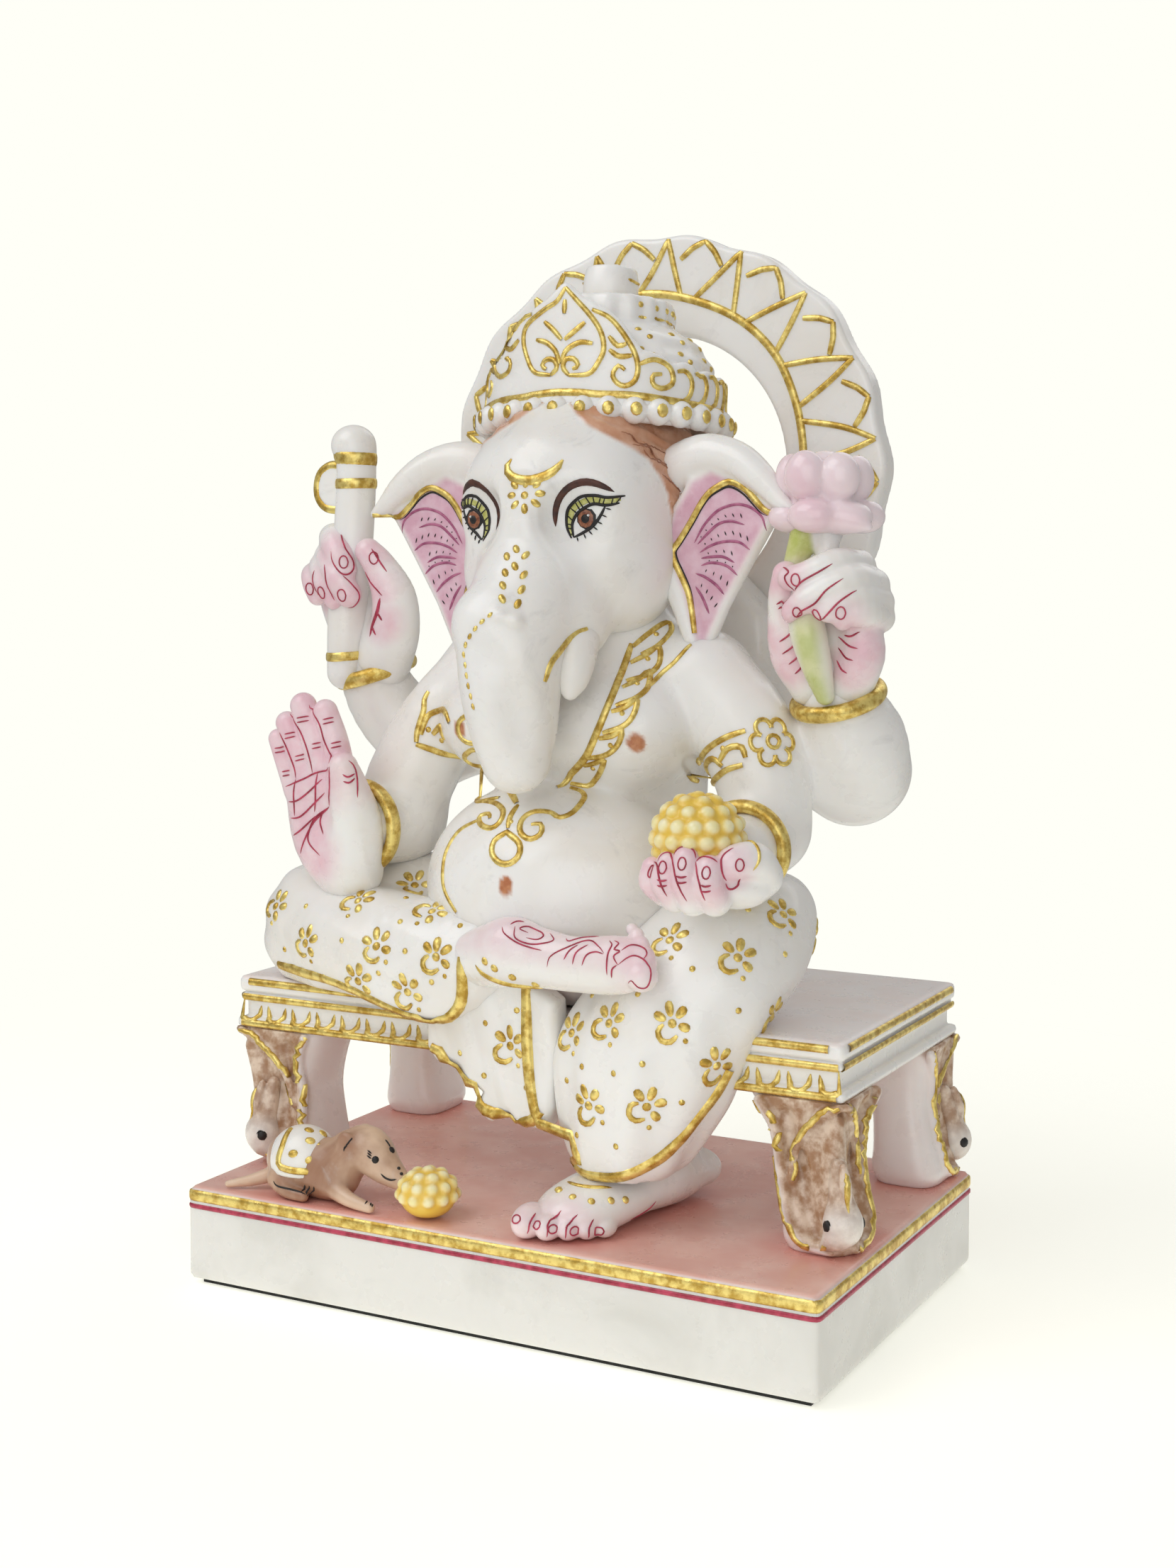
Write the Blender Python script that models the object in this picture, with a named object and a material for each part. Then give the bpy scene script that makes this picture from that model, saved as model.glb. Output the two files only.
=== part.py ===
"""Marble idol of a seated, four-armed elephant-headed figure on a four-legged bench and a plinth.

The frame is +Z up, the front faces -Y, and the origin is the centre of the pad's underside.
Sizes below are in millimetres and MM turns them into metres. Each piece gives way to the
pieces made before it, so neighbours meet across a small clearance and never overlap.
"""

import math

import bmesh
import bpy
from mathutils import Matrix, Vector

MM = 0.001
CLEARANCE = 0.4 * MM

# Driving dimensions, mm.
PAD_THICKNESS = 1.5
PAD_INSET = 3.0
PLINTH_SIZE = (194.0, 120.0, 27.0)
BENCH_X = (-104.5, 90.5)
BENCH_Y = (-27.0, 66.0)
BENCH_Z = (67.5, 83.0)
BENCH_PLATE_THICKNESS = 5.0
BENCH_PLATE_INSET = 2.5
FIGURE_X = -3.0
HEAD_CENTRE = (FIGURE_X, 1.5, 221.0)
HEAD_RADII = (30.5, 29.0, 33.5)
CROWN_CENTRE = (FIGURE_X, 17.5, 252.0)
CROWN_HALF_WIDTH = 38.5
CROWN_HALF_DEPTH = 29.0
CROWN_LEAN = math.radians(6.8)
HALO_CENTRE = (1.0, 51.5, 235.0)
HALO_RADII = (41.0, 70.5)
HALO_THICKNESS = 9.0
HALO_END_ANGLE = math.radians(56.0)
BANGLE_TUBE = 2.1

PLINTH_TOP = PAD_THICKNESS + PLINTH_SIZE[2]


def clear_scene():
    for obj in list(bpy.data.objects):
        bpy.data.objects.remove(obj, do_unlink=True)


def material(name, colour, roughness, metallic=0.0):
    made = bpy.data.materials.new(name)
    made.use_nodes = True
    shader = made.node_tree.nodes["Principled BSDF"]
    shader.inputs["Base Color"].default_value = (*colour, 1.0)
    shader.inputs["Roughness"].default_value = roughness
    shader.inputs["Metallic"].default_value = metallic
    return made


def add_object(name, mesh_data, finish):
    """Writes a bmesh to a new object with one material and outward normals."""
    bmesh.ops.recalc_face_normals(mesh_data, faces=mesh_data.faces)
    mesh = bpy.data.meshes.new(name)
    mesh_data.to_mesh(mesh)
    mesh_data.free()
    mesh.materials.append(finish)
    mesh.shade_smooth()
    mesh.set_sharp_from_angle(angle=math.radians(40.0))
    obj = bpy.data.objects.new(name, mesh)
    bpy.context.scene.collection.objects.link(obj)
    return obj


def loft(name, rings, finish):
    """Joins rings of equally many points and closes each end with a fan, in mm."""
    mesh = bmesh.new()
    loops = [[mesh.verts.new(Vector(point) * MM) for point in ring] for ring in rings]
    count = len(loops[0])
    for lower, upper in zip(loops, loops[1:]):
        for i in range(count):
            j = (i + 1) % count
            mesh.faces.new((lower[i], lower[j], upper[j], upper[i]))
    for loop in (loops[0], loops[-1]):
        middle = sum((vert.co for vert in loop), Vector()) / count
        pole = mesh.verts.new(middle)
        for i in range(count):
            mesh.faces.new((loop[i], loop[(i + 1) % count], pole))
    return add_object(name, mesh, finish)


def smooth_stations(stations, steps):
    """Catmull-Rom points through (x, y, z, radius) stations."""
    points = [Vector(station) for station in stations]
    padded = [points[0] * 2 - points[1], *points, points[-1] * 2 - points[-2]]
    smooth = []
    for a, b, c, d in zip(padded, padded[1:], padded[2:], padded[3:]):
        for step in range(steps):
            t = step / steps
            bend = a * 2 - b * 5 + c * 4 - d
            twist = b * 3 - a - c * 3 + d
            smooth.append(b + ((c - a) * t + bend * t**2 + twist * t**3) * 0.5)
    return [*smooth, points[-1]]


def sweep(name, stations, finish, sides=10, steps=2, flatness=1.0):
    """A round-ended limb through (x, y, z, radius) stations, flattened along its own upward side."""
    path = smooth_stations(stations, steps)
    centres = [Vector(point[:3]) for point in path]
    radii = [point[3] for point in path]
    rings = []
    side = None
    for i, centre in enumerate(centres):
        ahead = centres[min(i + 1, len(centres) - 1)] - centres[max(i - 1, 0)]
        ahead.normalize()
        if side is None:
            side = ahead.cross(Vector((0.0, 0.0, 1.0)))
            if side.length < 0.2:
                side = ahead.cross(Vector((0.0, 1.0, 0.0)))
        side = (side - ahead * side.dot(ahead)).normalized()
        up = side.cross(ahead)

        def ring(middle, radius):
            turns = [math.tau * k / sides for k in range(sides)]
            return [
                middle + side * (radius * math.cos(a)) + up * (radius * flatness * math.sin(a))
                for a in turns
            ]

        ends = (0.9, 0.45) if i == 0 else (0.45, 0.9) if i == len(centres) - 1 else ()
        direction = -ahead if i == 0 else ahead
        caps = [
            ring(centre + direction * (radii[i] * flatness * end), radii[i] * math.sqrt(1 - end**2))
            for end in ends
        ]
        rings += [*caps, ring(centre, radii[i])] if i == 0 else [ring(centre, radii[i]), *caps]
    return loft(name, rings, finish)


def stack(name, sections, finish, sides=16, squareness=1.0):
    """Horizontal oval sections (x, y, z, half width, half depth); squareness under 1 fills the corners."""
    rings = []
    for x, y, z, half_width, half_depth in sections:
        ring = []
        for k in range(sides):
            c = math.cos(math.tau * (k + 0.5) / sides)
            s = math.sin(math.tau * (k + 0.5) / sides)
            ring.append((
                x + half_width * math.copysign(abs(c) ** squareness, c),
                y + half_depth * math.copysign(abs(s) ** squareness, s),
                z,
            ))
        rings.append(ring)
    return loft(name, rings, finish)


def ellipsoid(name, centre, radii, finish, segments=16, rings=10):
    mesh = bmesh.new()
    bmesh.ops.create_uvsphere(mesh, u_segments=segments, v_segments=rings, radius=1.0)
    bmesh.ops.scale(mesh, vec=Vector(radii) * MM, verts=mesh.verts)
    bmesh.ops.translate(mesh, vec=Vector(centre) * MM, verts=mesh.verts)
    return add_object(name, mesh, finish)


def block(name, low, high, finish, edge=0.0):
    """A box between two corners with all of its edges rounded."""
    size = Vector(high) - Vector(low)
    centre = (Vector(high) + Vector(low)) * 0.5
    mesh = bmesh.new()
    bmesh.ops.create_cube(mesh, size=1.0)
    bmesh.ops.scale(mesh, vec=size * MM, verts=mesh.verts)
    bmesh.ops.translate(mesh, vec=centre * MM, verts=mesh.verts)
    if edge:
        round_off = {"offset": edge * MM, "segments": 2, "profile": 0.5, "affect": "EDGES"}
        bmesh.ops.bevel(mesh, geom=mesh.edges, **round_off)
    return add_object(name, mesh, finish)


def plate(name, outline, y_range, finish):
    """An upright plate with an (x, z) outline between two y values."""
    mesh = bmesh.new()
    corners = [mesh.verts.new(Vector((x, y_range[0], z)) * MM) for x, z in outline]
    face = mesh.faces.new(corners)
    grown = bmesh.ops.extrude_face_region(mesh, geom=[face])["geom"]
    moved = [item for item in grown if isinstance(item, bmesh.types.BMVert)]
    bmesh.ops.translate(mesh, vec=Vector((0.0, y_range[1] - y_range[0], 0.0)) * MM, verts=moved)
    return add_object(name, mesh, finish)


def hoop(name, centre, axis, radius, finish, tube=BANGLE_TUBE):
    """A round bangle about an axis."""
    major, minor = 16, 6
    turn = Vector((0.0, 0.0, 1.0)).rotation_difference(Vector(axis)).to_matrix()
    mesh = bmesh.new()
    loops = []
    for k in range(major):
        a = math.tau * k / major
        loop = []
        for m in range(minor):
            b = math.tau * m / minor
            reach = radius + tube * math.cos(b)
            local = Vector((reach * math.cos(a), reach * math.sin(a), tube * math.sin(b)))
            loop.append(mesh.verts.new((turn @ local + Vector(centre)) * MM))
        loops.append(loop)
    for k in range(major):
        here, there = loops[k], loops[(k + 1) % major]
        for m in range(minor):
            n = (m + 1) % minor
            mesh.faces.new((here[m], here[n], there[n], there[m]))
    return add_object(name, mesh, finish)


def merge(piece, helper):
    """Makes a helper shape part of a piece."""
    union = piece.modifiers.new("join", "BOOLEAN")
    union.operation = "UNION"
    union.object = helper
    bpy.context.view_layer.update()
    joined = evaluated_mesh(piece)
    piece.modifiers.clear()
    piece.data = joined
    bpy.data.objects.remove(helper, do_unlink=True)
    return piece


def evaluated_mesh(piece):
    evaluated = piece.evaluated_get(bpy.context.evaluated_depsgraph_get())
    return bpy.data.meshes.new_from_object(evaluated)


def hide_helper(helper):
    helper.hide_render = True
    helper.display_type = "WIRE"


def lean_with_crown(obj):
    """Turns a piece built about the crown's centre so that it leans back with the crown."""
    centre = Vector(CROWN_CENTRE) * MM
    lean = Matrix.Rotation(-CROWN_LEAN, 4, "X")
    obj.data.transform(Matrix.Translation(centre) @ lean @ Matrix.Translation(-centre))


# ---------------------------------------------------------------- plinth and bench


def make_plinth(looks):
    length, depth, height = PLINTH_SIZE
    half_x, half_y = length / 2, depth / 2
    pad_x, pad_y = half_x - PAD_INSET, half_y - PAD_INSET
    block("base_pad", (-pad_x, -pad_y, 0.0), (pad_x, pad_y, PAD_THICKNESS - 0.3), looks["rubber"])
    block(
        "plinth",
        (-half_x, -half_y, PAD_THICKNESS),
        (half_x, half_y, PAD_THICKNESS + height),
        looks["marble"],
        edge=1.5,
    )


def make_bench(looks):
    low_x, high_x = BENCH_X
    low_y, high_y = BENCH_Y
    low_z, high_z = BENCH_Z
    split = high_z - BENCH_PLATE_THICKNESS
    inset = BENCH_PLATE_INSET
    block("bench_slab", (low_x, low_y, low_z), (high_x, high_y, split - 0.3), looks["marble"], edge=1.2)
    block(
        "bench_plate",
        (low_x + inset, low_y + inset, split),
        (high_x - inset, high_y - inset, high_z),
        looks["marble"],
        edge=1.0,
    )


def make_bench_legs(looks):
    """Four cabriole legs, wide under the bench and at the foot, each with a bird's head outside."""
    inset_x, inset_y = 14.5, 13.5
    foot_x, foot_front_y, foot_rear_y = 84.0, -19.5, 47.0
    for side, bench_x, sign in (("left", BENCH_X[0] + inset_x, -1), ("right", BENCH_X[1] - inset_x, 1)):
        for end, bench_y, foot_y, out in (
            ("front", BENCH_Y[0] + inset_y, foot_front_y, -1),
            ("rear", BENCH_Y[1] - inset_y, foot_rear_y, 1),
        ):
            name = f"{end}_{side}"
            top, bottom = BENCH_Z[0] - 0.4, PLINTH_TOP + 0.4
            height = top - bottom
            sections = []
            for part, half_width, half_depth in (
                (0.0, 8.6, 11.0), (0.12, 10.2, 12.4), (0.35, 10.4, 12.6),
                (0.6, 10.0, 12.2), (0.82, 11.6, 12.6), (1.0, 14.0, 13.0),
            ):
                lean = part**1.5
                x = sign * foot_x * (1 - lean) + bench_x * lean
                y = foot_y * (1 - lean) + bench_y * lean
                sections.append((x, y, bottom + part * height, half_width, half_depth))
            stack(f"bench_leg_{name}", sections, looks["washed_marble"], squareness=0.6)
            corner = (sign * (foot_x + 8.5), foot_y + out * 11.5)
            bird = [
                (corner[0], corner[1], PLINTH_TOP + 5.5, 4.6),
                (corner[0] + sign * 0.5, corner[1] + out * 0.8, PLINTH_TOP + 9.5, 4.4),
                (corner[0] - sign * 0.5, corner[1] - out * 0.5, PLINTH_TOP + 16.0, 2.6),
            ]
            sweep(f"bird_{name}", bird, looks["washed_marble"])


# ---------------------------------------------------------------- body


def make_torso(looks):
    x = FIGURE_X
    sections = [
        (x, -4.0, 86.0, 30.0, 21.0),
        (x, -8.0, 95.0, 37.0, 28.0),
        (x, -10.5, 108.0, 39.0, 31.0),
        (x, -11.0, 122.0, 38.5, 31.0),
        (x, -8.0, 136.0, 36.0, 27.5),
        (x, -3.0, 150.0, 38.0, 25.0),
        (x, 3.0, 165.0, 42.0, 26.0),
        (x, 8.0, 178.0, 39.0, 24.0),
        (x, 10.0, 188.0, 27.0, 20.0),
        (x, 10.0, 194.0, 15.0, 13.0),
    ]
    stack("torso", sections, looks["marble"], sides=20)


def make_legs(looks):
    thigh = [(-20, 14, 105, 17), (-48, 3, 102, 18.5), (-79, -10, 98, 20)]
    shin = [(-80, -13, 97, 19), (-62, -23, 96, 17.5), (-38, -28, 96, 16), (-19, -30, 97, 13)]
    folded = sweep("folded_leg", thigh, looks["dhoti"], sides=14)
    merge(folded, sweep("folded_shin_helper", shin, looks["dhoti"], sides=14))

    hanging = [
        (29, -30, 43.5, 11, 10),
        (30, -30, 50, 17, 14),
        (32, -28.5, 60, 22, 16),
        (34, -27, 72, 25.5, 18),
        (38, -22, 84, 27, 22),
        (43, -13, 95, 27, 27),
        (45, -6, 104, 25.5, 28),
        (46, 2, 114, 21, 23),
        (47, 7, 120.5, 12, 14),
    ]
    stack("hanging_leg", hanging, looks["dhoti"], sides=18)


def make_feet(looks):
    sole_up = [
        (-14, -37, 98, 8), (2, -41, 100.5, 8.5), (20, -44, 101.5, 8),
        (34, -44.5, 102, 8.3), (40, -44.5, 101, 6),
    ]
    sweep("folded_foot", sole_up, looks["painted_skin"])
    toes_forward = [
        (33, 2, 35, 9), (29, -15, 36.5, 11), (23.5, -31, 35.5, 12),
        (18, -45, 33, 12.5), (16, -50, 32, 9.5),
    ]
    foot = sweep("standing_foot", toes_forward, looks["painted_skin"], flatness=0.62)
    ankle = [(27, -16, 50, 13), (28.5, -12, 38, 12)]
    merge(foot, sweep("ankle_helper", ankle, looks["painted_skin"]))


def make_apron(looks):
    outline = [
        (-28, 84), (-28, 69), (-20, 65), (-16, 61), (-16, 55.5), (-10, 53.5),
        (-4, 53), (0, 52.2), (5, 52.2), (9, 55), (10, 88), (-6, 94),
    ]
    plate("front_drape", outline, (-37.0, -28.0), looks["dhoti"])


# ---------------------------------------------------------------- head and crown


def make_head(looks):
    ellipsoid("head", HEAD_CENTRE, HEAD_RADII, looks["marble"], segments=20, rings=14)


def make_trunk(looks):
    x = FIGURE_X
    path = [
        (x, -17, 204, 13), (x - 1, -28, 190, 15.5), (x - 1, -35, 176, 14.5),
        (x - 0.5, -34, 162, 12.5), (x, -32, 153, 9),
    ]
    sweep("trunk", path, looks["marble"], sides=14)
    sweep("tusk", [(11, -20, 189, 5.5), (12.5, -25, 181, 5), (13.5, -27, 174, 2.6)], looks["marble"])


def make_ears(looks):
    """Fan-shaped ears: the same outline out from the middle of the face, on both sides."""
    outline = [
        (25, 206), (26, 226), (31, 235), (40, 239.5), (51, 238.5), (60, 232.5),
        (66.5, 222), (60, 217.5), (54.5, 207), (47.5, 195), (41, 180.5), (37, 183), (31, 199),
    ]
    for side, sign in (("left", -1), ("right", 1)):
        mirrored = [(FIGURE_X + sign * out, z) for out, z in outline]
        plate(f"ear_{side}", mirrored, (-4.0, 3.0), looks["ear"])


def make_hair(looks):
    """The mass of hair behind the head, from the crown down to the nape."""
    ellipsoid("hair", (FIGURE_X, 17.0, 226.0), (34.5, 27.0, 31.0), looks["hair"])


def make_crown(looks):
    x, y, z = CROWN_CENTRE
    width, depth = CROWN_HALF_WIDTH, CROWN_HALF_DEPTH
    band = [
        (x, y, z - 4.5, width - 1.5, depth - 1.5),
        (x, y, z - 2.5, width, depth),
        (x, y, z + 1.5, width, depth),
        (x, y, z + 3.5, width - 1.5, depth - 1.5),
    ]
    lean_with_crown(stack("crown_band", band, looks["marble"], sides=24))
    make_tiara(looks)
    dome = [
        (x, y, z + 4.0, width - 5.0, depth - 4.5),
        (x, y, z + 11.0, width - 5.5, depth - 5.0),
        (x, y, z + 18.0, width - 9.5, depth - 8.0),
        (x, y, z + 23.5, width - 16.5, depth - 12.5),
    ]
    lean_with_crown(stack("crown_dome", dome, looks["marble"], sides=20))
    tier = [
        (x, y, z + 24.0, 17.5, 15.5), (x, y, z + 27.5, 20, 17.5),
        (x, y, z + 31.0, 19, 16.5), (x, y, z + 32.5, 14, 12),
    ]
    lean_with_crown(stack("crown_tier", tier, looks["marble"]))
    knob = [(x, y, z + 33.0, 7.6, 7.6), (x, y, z + 39.0, 8.4, 8.4), (x, y, z + 42.0, 6.0, 6.0)]
    lean_with_crown(stack("crown_knob", knob, looks["marble"], sides=12))


def tiara_height(turn):
    """Top edge over the crown's centre at an angle from the front, mm: a high arch, two lower, then a rim."""
    turn = abs(turn)
    middle = 34.0 - 15.0 * (turn / 40.0) ** 1.4
    shoulder = 23.5 - 9.0 * abs((turn - 50.0) / 24.0) ** 1.6
    return max(middle, shoulder, 12.0) if turn < 80.0 else 12.0


def make_tiara(looks):
    x, y, z = CROWN_CENTRE
    wall = 3.0
    rings = []
    for step in range(31):
        turn = -120.0 + 8.0 * step
        a = math.radians(turn)
        across, back = math.sin(a), -math.cos(a)
        top = z + tiara_height(turn)
        corners = []
        for inward, height in ((0.0, z + 4.0), (0.0, top), (wall, top), (wall, z + 4.0)):
            reach_x = CROWN_HALF_WIDTH - 0.8 - inward
            reach_y = CROWN_HALF_DEPTH - 0.8 - inward
            corners.append((x + reach_x * across, y + reach_y * back, height))
        rings.append(corners)
    lean_with_crown(loft("crown_tiara", rings, looks["marble"]))


def make_halo(looks):
    """A flat arch behind the head, open at the bottom, and the web that ties it to the shoulders."""
    x, y, z = HALO_CENTRE
    inner, outer = HALO_RADII
    half = HALO_THICKNESS / 2
    steps = 26
    rings = []
    for step in range(steps + 1):
        a = -HALO_END_ANGLE + (math.pi + 2 * HALO_END_ANGLE) * step / steps
        rings.append([
            (x + radius * math.cos(a), y + offset, z + radius * math.sin(a))
            for radius, offset in ((inner, -half), (outer, -half), (outer, half), (inner, half))
        ])
    loft("halo", rings, looks["marble"])
    web = [(-40, 160), (-46, 176), (-44, 194), (-34, 206), (34, 206), (45, 194), (47, 176), (41, 160)]
    plate("halo_web", web, (33.0, y - half - 0.4), looks["marble"])


# ---------------------------------------------------------------- arms and what they hold


def make_arms(looks):
    marble = looks["marble"]
    upper_arms = {
        "front_left": [(-40, 6, 175, 13), (-50, 1, 158, 13), (-58, -3, 141, 13.5), (-60, -4, 132, 13)],
        "front_right": [(38, 6, 175, 13.5), (49.5, 4.5, 159, 14), (55, 3, 145, 13), (56, 1, 135, 12.5)],
        "rear_left": [(-26, 28, 170, 14), (-46, 27, 159, 13.5), (-63, 18, 150, 12.5)],
        "rear_right": [(22, 30, 168, 15), (50, 32, 156, 15), (73, 24, 149, 15.5)],
    }
    forearms = {
        "front_left": [(-60, -4, 131, 13.5), (-62, -14, 130, 12.5), (-63, -22, 130, 11.5)],
        "front_right": [(56, 0, 134, 12), (57, -10, 131, 11.5), (57.5, -18, 130, 10.5)],
        "rear_left": [(-64, 17, 150, 12.5), (-72, 12, 160, 12), (-76, 7, 170, 11), (-76.5, 6, 176, 9)],
        "rear_right": [(75.5, 22, 150, 15.5), (76.5, 16, 158, 15), (74.5, 11, 167, 12), (74, 9, 174, 10)],
    }
    for where, path in upper_arms.items():
        sweep(f"upper_arm_{where}", path, marble)
    for where, path in forearms.items():
        sweep(f"forearm_{where}", path, marble)


def make_held_things(looks):
    handle = [(-81, -3, 176, 5.6), (-79, -2, 210, 5.8), (-77.5, -1, 236, 6.2), (-79, -1, 243, 6.4)]
    sweep("axe_handle", handle, looks["marble"])
    blade = [(-85, 218), (-89.5, 219.5), (-93, 223.5), (-94, 228), (-93, 233), (-89.5, 236.5), (-85, 237.5)]
    plate("axe_blade", blade, (-3.5, 2.0), looks["gold"])
    flower = [
        (71.5, 4.5, 215.0, 10, 9), (72.5, 4.5, 218.5, 14, 12), (71.5, 4.5, 223.5, 11, 10.5),
        (71, 4.5, 231.0, 12.5, 11.5), (71, 4.5, 237.5, 8.5, 8),
    ]
    stack("lotus_flower", flower, looks["lotus"])
    stem = [(75.5, -2.5, 173, 3), (73.5, -3, 184, 3.6), (69.5, 2, 204, 3.6), (70, 4, 214, 3.6)]
    sweep("lotus_stem", stem, looks["stem"], sides=8)


def make_hands(looks):
    skin = looks["painted_skin"]
    palm_up = [
        (-66.5, -27, 117.5, 8, 6.5), (-68, -27.5, 124, 12, 7.5), (-70.5, -29, 136, 14, 6.5),
        (-73, -30, 150, 14, 5.5), (-76.5, -31, 160, 11.5, 5), (-77.5, -31, 167.5, 7, 4),
    ]
    stack("hand_front_left", palm_up, skin)
    ellipsoid("hand_front_right", (55, -34, 124.5), (14.5, 14.5, 7.5), skin)
    ellipsoid("hand_rear_left", (-78, 0.5, 193), (14, 9.5, 18), skin)
    ellipsoid("hand_rear_right", (70.5, 6, 189), (14.5, 9.5, 18), skin)
    ellipsoid("sweet_in_hand", (52.5, -36, 136.5), (12.6, 12.6, 12.0), looks["sweet"])


def make_jewellery(looks):
    bangles = {
        "front_left": ((-62.5, -21, 130), (-0.15, -1.0, 0.0), 13.0),
        "front_right": ((57.3, -17, 130.5), (0.1, -1.0, 0.0), 12.2),
        "rear_left": ((-76, 6.5, 174), (-0.25, -0.2, 1.0), 13.0),
        "rear_right": ((74, 9.5, 170), (-0.12, -0.35, 1.0), 13.2),
    }
    for where, (centre, axis, radius) in bangles.items():
        hoop(f"bangle_{where}", centre, axis, radius, looks["gold"])
    hoop("armlet_left", (-50.5, 0.8, 157), (-0.45, -0.25, -1.0), 14.2, looks["gold"], tube=2.4)
    hoop("armlet_right", (50, 4.4, 158), (0.4, -0.1, -1.0), 15.0, looks["gold"], tube=2.4)


# ---------------------------------------------------------------- mouse


def make_mouse(looks):
    fur = looks["fur"]
    ground = PLINTH_TOP
    ellipsoid("mouse_body", (-62, -49.5, ground + 8.5), (13, 8.0, 9.3), fur, segments=14, rings=9)
    head = [
        (-48, -47, ground + 14, 6.0), (-42, -47.5, ground + 14.5, 7.2),
        (-35, -49, ground + 11, 4.6), (-31, -50, ground + 9, 2.8),
    ]
    sweep("mouse_head", head, fur)
    tail = [
        (-73, -50, ground + 4.5, 2.6), (-79, -53.5, ground + 2.4, 2.0),
        (-85, -56.5, ground + 1.9, 1.2),
    ]
    sweep("mouse_tail", tail, fur, sides=8)
    saddle = {"centre": (-63, -49.5, ground + 9.2), "radii": (8.5, 9.6, 10.4)}
    ellipsoid("mouse_saddle", finish=looks["dhoti"], segments=14, rings=9, **saddle)
    sweet = {"centre": (-20.8, -51.5, ground + 6.6), "radii": (8.8, 7.6, 7.4)}
    ellipsoid("mouse_sweet", finish=looks["sweet"], segments=14, rings=9, **sweet)


# ---------------------------------------------------------------- fitting pieces to each other


def box_of(obj):
    corners = [vert.co for vert in obj.data.vertices]
    low = Vector([min(corner[i] for corner in corners) for i in range(3)])
    high = Vector([max(corner[i] for corner in corners) for i in range(3)])
    return low, high


def boxes_meet(first, second):
    (low_a, high_a), (low_b, high_b) = first, second
    return all(
        low_a[i] < high_b[i] + CLEARANCE and low_b[i] < high_a[i] + CLEARANCE for i in range(3)
    )


def swollen_cutter(piece):
    """A hidden copy of a piece, larger all round by the clearance."""
    cutter = piece.copy()
    cutter.name = f"{piece.name}_cutter"
    bpy.context.scene.collection.objects.link(cutter)
    swell = cutter.modifiers.new("clearance", "DISPLACE")
    swell.strength = CLEARANCE
    swell.mid_level = 0.0
    hide_helper(cutter)
    return cutter


def give_way_in_order(pieces):
    """Cuts every piece by the pieces before it that reach it."""
    boxes = [box_of(piece) for piece in pieces]
    for later, piece in enumerate(pieces):
        for earlier in range(later):
            if not boxes_meet(boxes[earlier], boxes[later]):
                continue
            cut = piece.modifiers.new(f"clear_{pieces[earlier].name}", "BOOLEAN")
            cut.operation = "DIFFERENCE"
            cut.object = CUTTERS[pieces[earlier].name]


def skin_area(verts):
    faces = {face for vert in verts for face in vert.link_faces}
    return sum(face.calc_area() for face in faces)


def keep_largest_body(piece):
    """Bakes a piece's modifiers and drops the loose chips that its cuts left."""
    baked = evaluated_mesh(piece)
    mesh = bmesh.new()
    mesh.from_mesh(baked)
    waiting = set(mesh.verts)
    bodies = []
    while waiting:
        front = [waiting.pop()]
        body = set(front)
        while front:
            vert = front.pop()
            near = {edge.other_vert(vert) for edge in vert.link_edges} - body
            body |= near
            front += near
        waiting -= body
        bodies.append(body)
    bodies.sort(key=skin_area)
    for body in bodies[:-1]:
        bmesh.ops.delete(mesh, geom=list(body), context="VERTS")
    bmesh.ops.triangulate(mesh, faces=mesh.faces)
    mesh.to_mesh(baked)
    mesh.free()
    return baked


CUTTERS = {}


def build():
    clear_scene()
    looks = {
        "marble": material("white_marble", (0.86, 0.85, 0.83), 0.25),
        "washed_marble": material("washed_marble", (0.70, 0.60, 0.48), 0.4),
        "dhoti": material("dhoti_marble", (0.85, 0.84, 0.82), 0.25),
        "painted_skin": material("pink_tinted_marble", (0.84, 0.70, 0.73), 0.3),
        "ear": material("pink_painted_ear", (0.82, 0.66, 0.70), 0.35),
        "hair": material("brown_painted_hair", (0.65, 0.42, 0.33), 0.5),
        "gold": material("gold_leaf", (0.75, 0.60, 0.25), 0.3, metallic=1.0),
        "lotus": material("pink_lotus", (0.88, 0.75, 0.78), 0.3),
        "stem": material("green_stem", (0.78, 0.80, 0.50), 0.35),
        "sweet": material("yellow_sweet", (0.90, 0.75, 0.30), 0.35),
        "fur": material("brown_fur", (0.66, 0.52, 0.43), 0.45),
        "rubber": material("black_pad", (0.08, 0.07, 0.06), 0.8),
    }
    make_plinth(looks)
    make_bench(looks)
    make_torso(looks)
    make_head(looks)
    make_legs(looks)
    make_crown(looks)
    make_halo(looks)
    make_trunk(looks)
    make_ears(looks)
    make_hair(looks)
    make_arms(looks)
    make_held_things(looks)
    make_hands(looks)
    make_jewellery(looks)
    make_feet(looks)
    make_apron(looks)
    make_bench_legs(looks)
    make_mouse(looks)

    pieces = [obj for obj in bpy.context.scene.objects if not obj.hide_render]
    for piece in pieces:
        CUTTERS[piece.name] = swollen_cutter(piece)
    give_way_in_order(pieces)
    bpy.context.view_layer.update()
    finished = {piece: keep_largest_body(piece) for piece in pieces}
    for piece, mesh in finished.items():
        piece.modifiers.clear()
        piece.data = mesh
    for helper in [obj for obj in bpy.context.scene.objects if obj.hide_render]:
        bpy.data.objects.remove(helper, do_unlink=True)


build()
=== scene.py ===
"""Looks of a hand-carved, painted marble idol: a seated, four-armed elephant-headed figure.

Everything is in millimetres in the frame's own axes (+Z up, front at -Y) until it becomes a mesh.
A carved region is a Clay, a distance field on a grid that smooth shapes are added to and cut
from. Gold leaf and painted lines are thin crowned ribbons laid on the carved skin.
"""

import math

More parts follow.
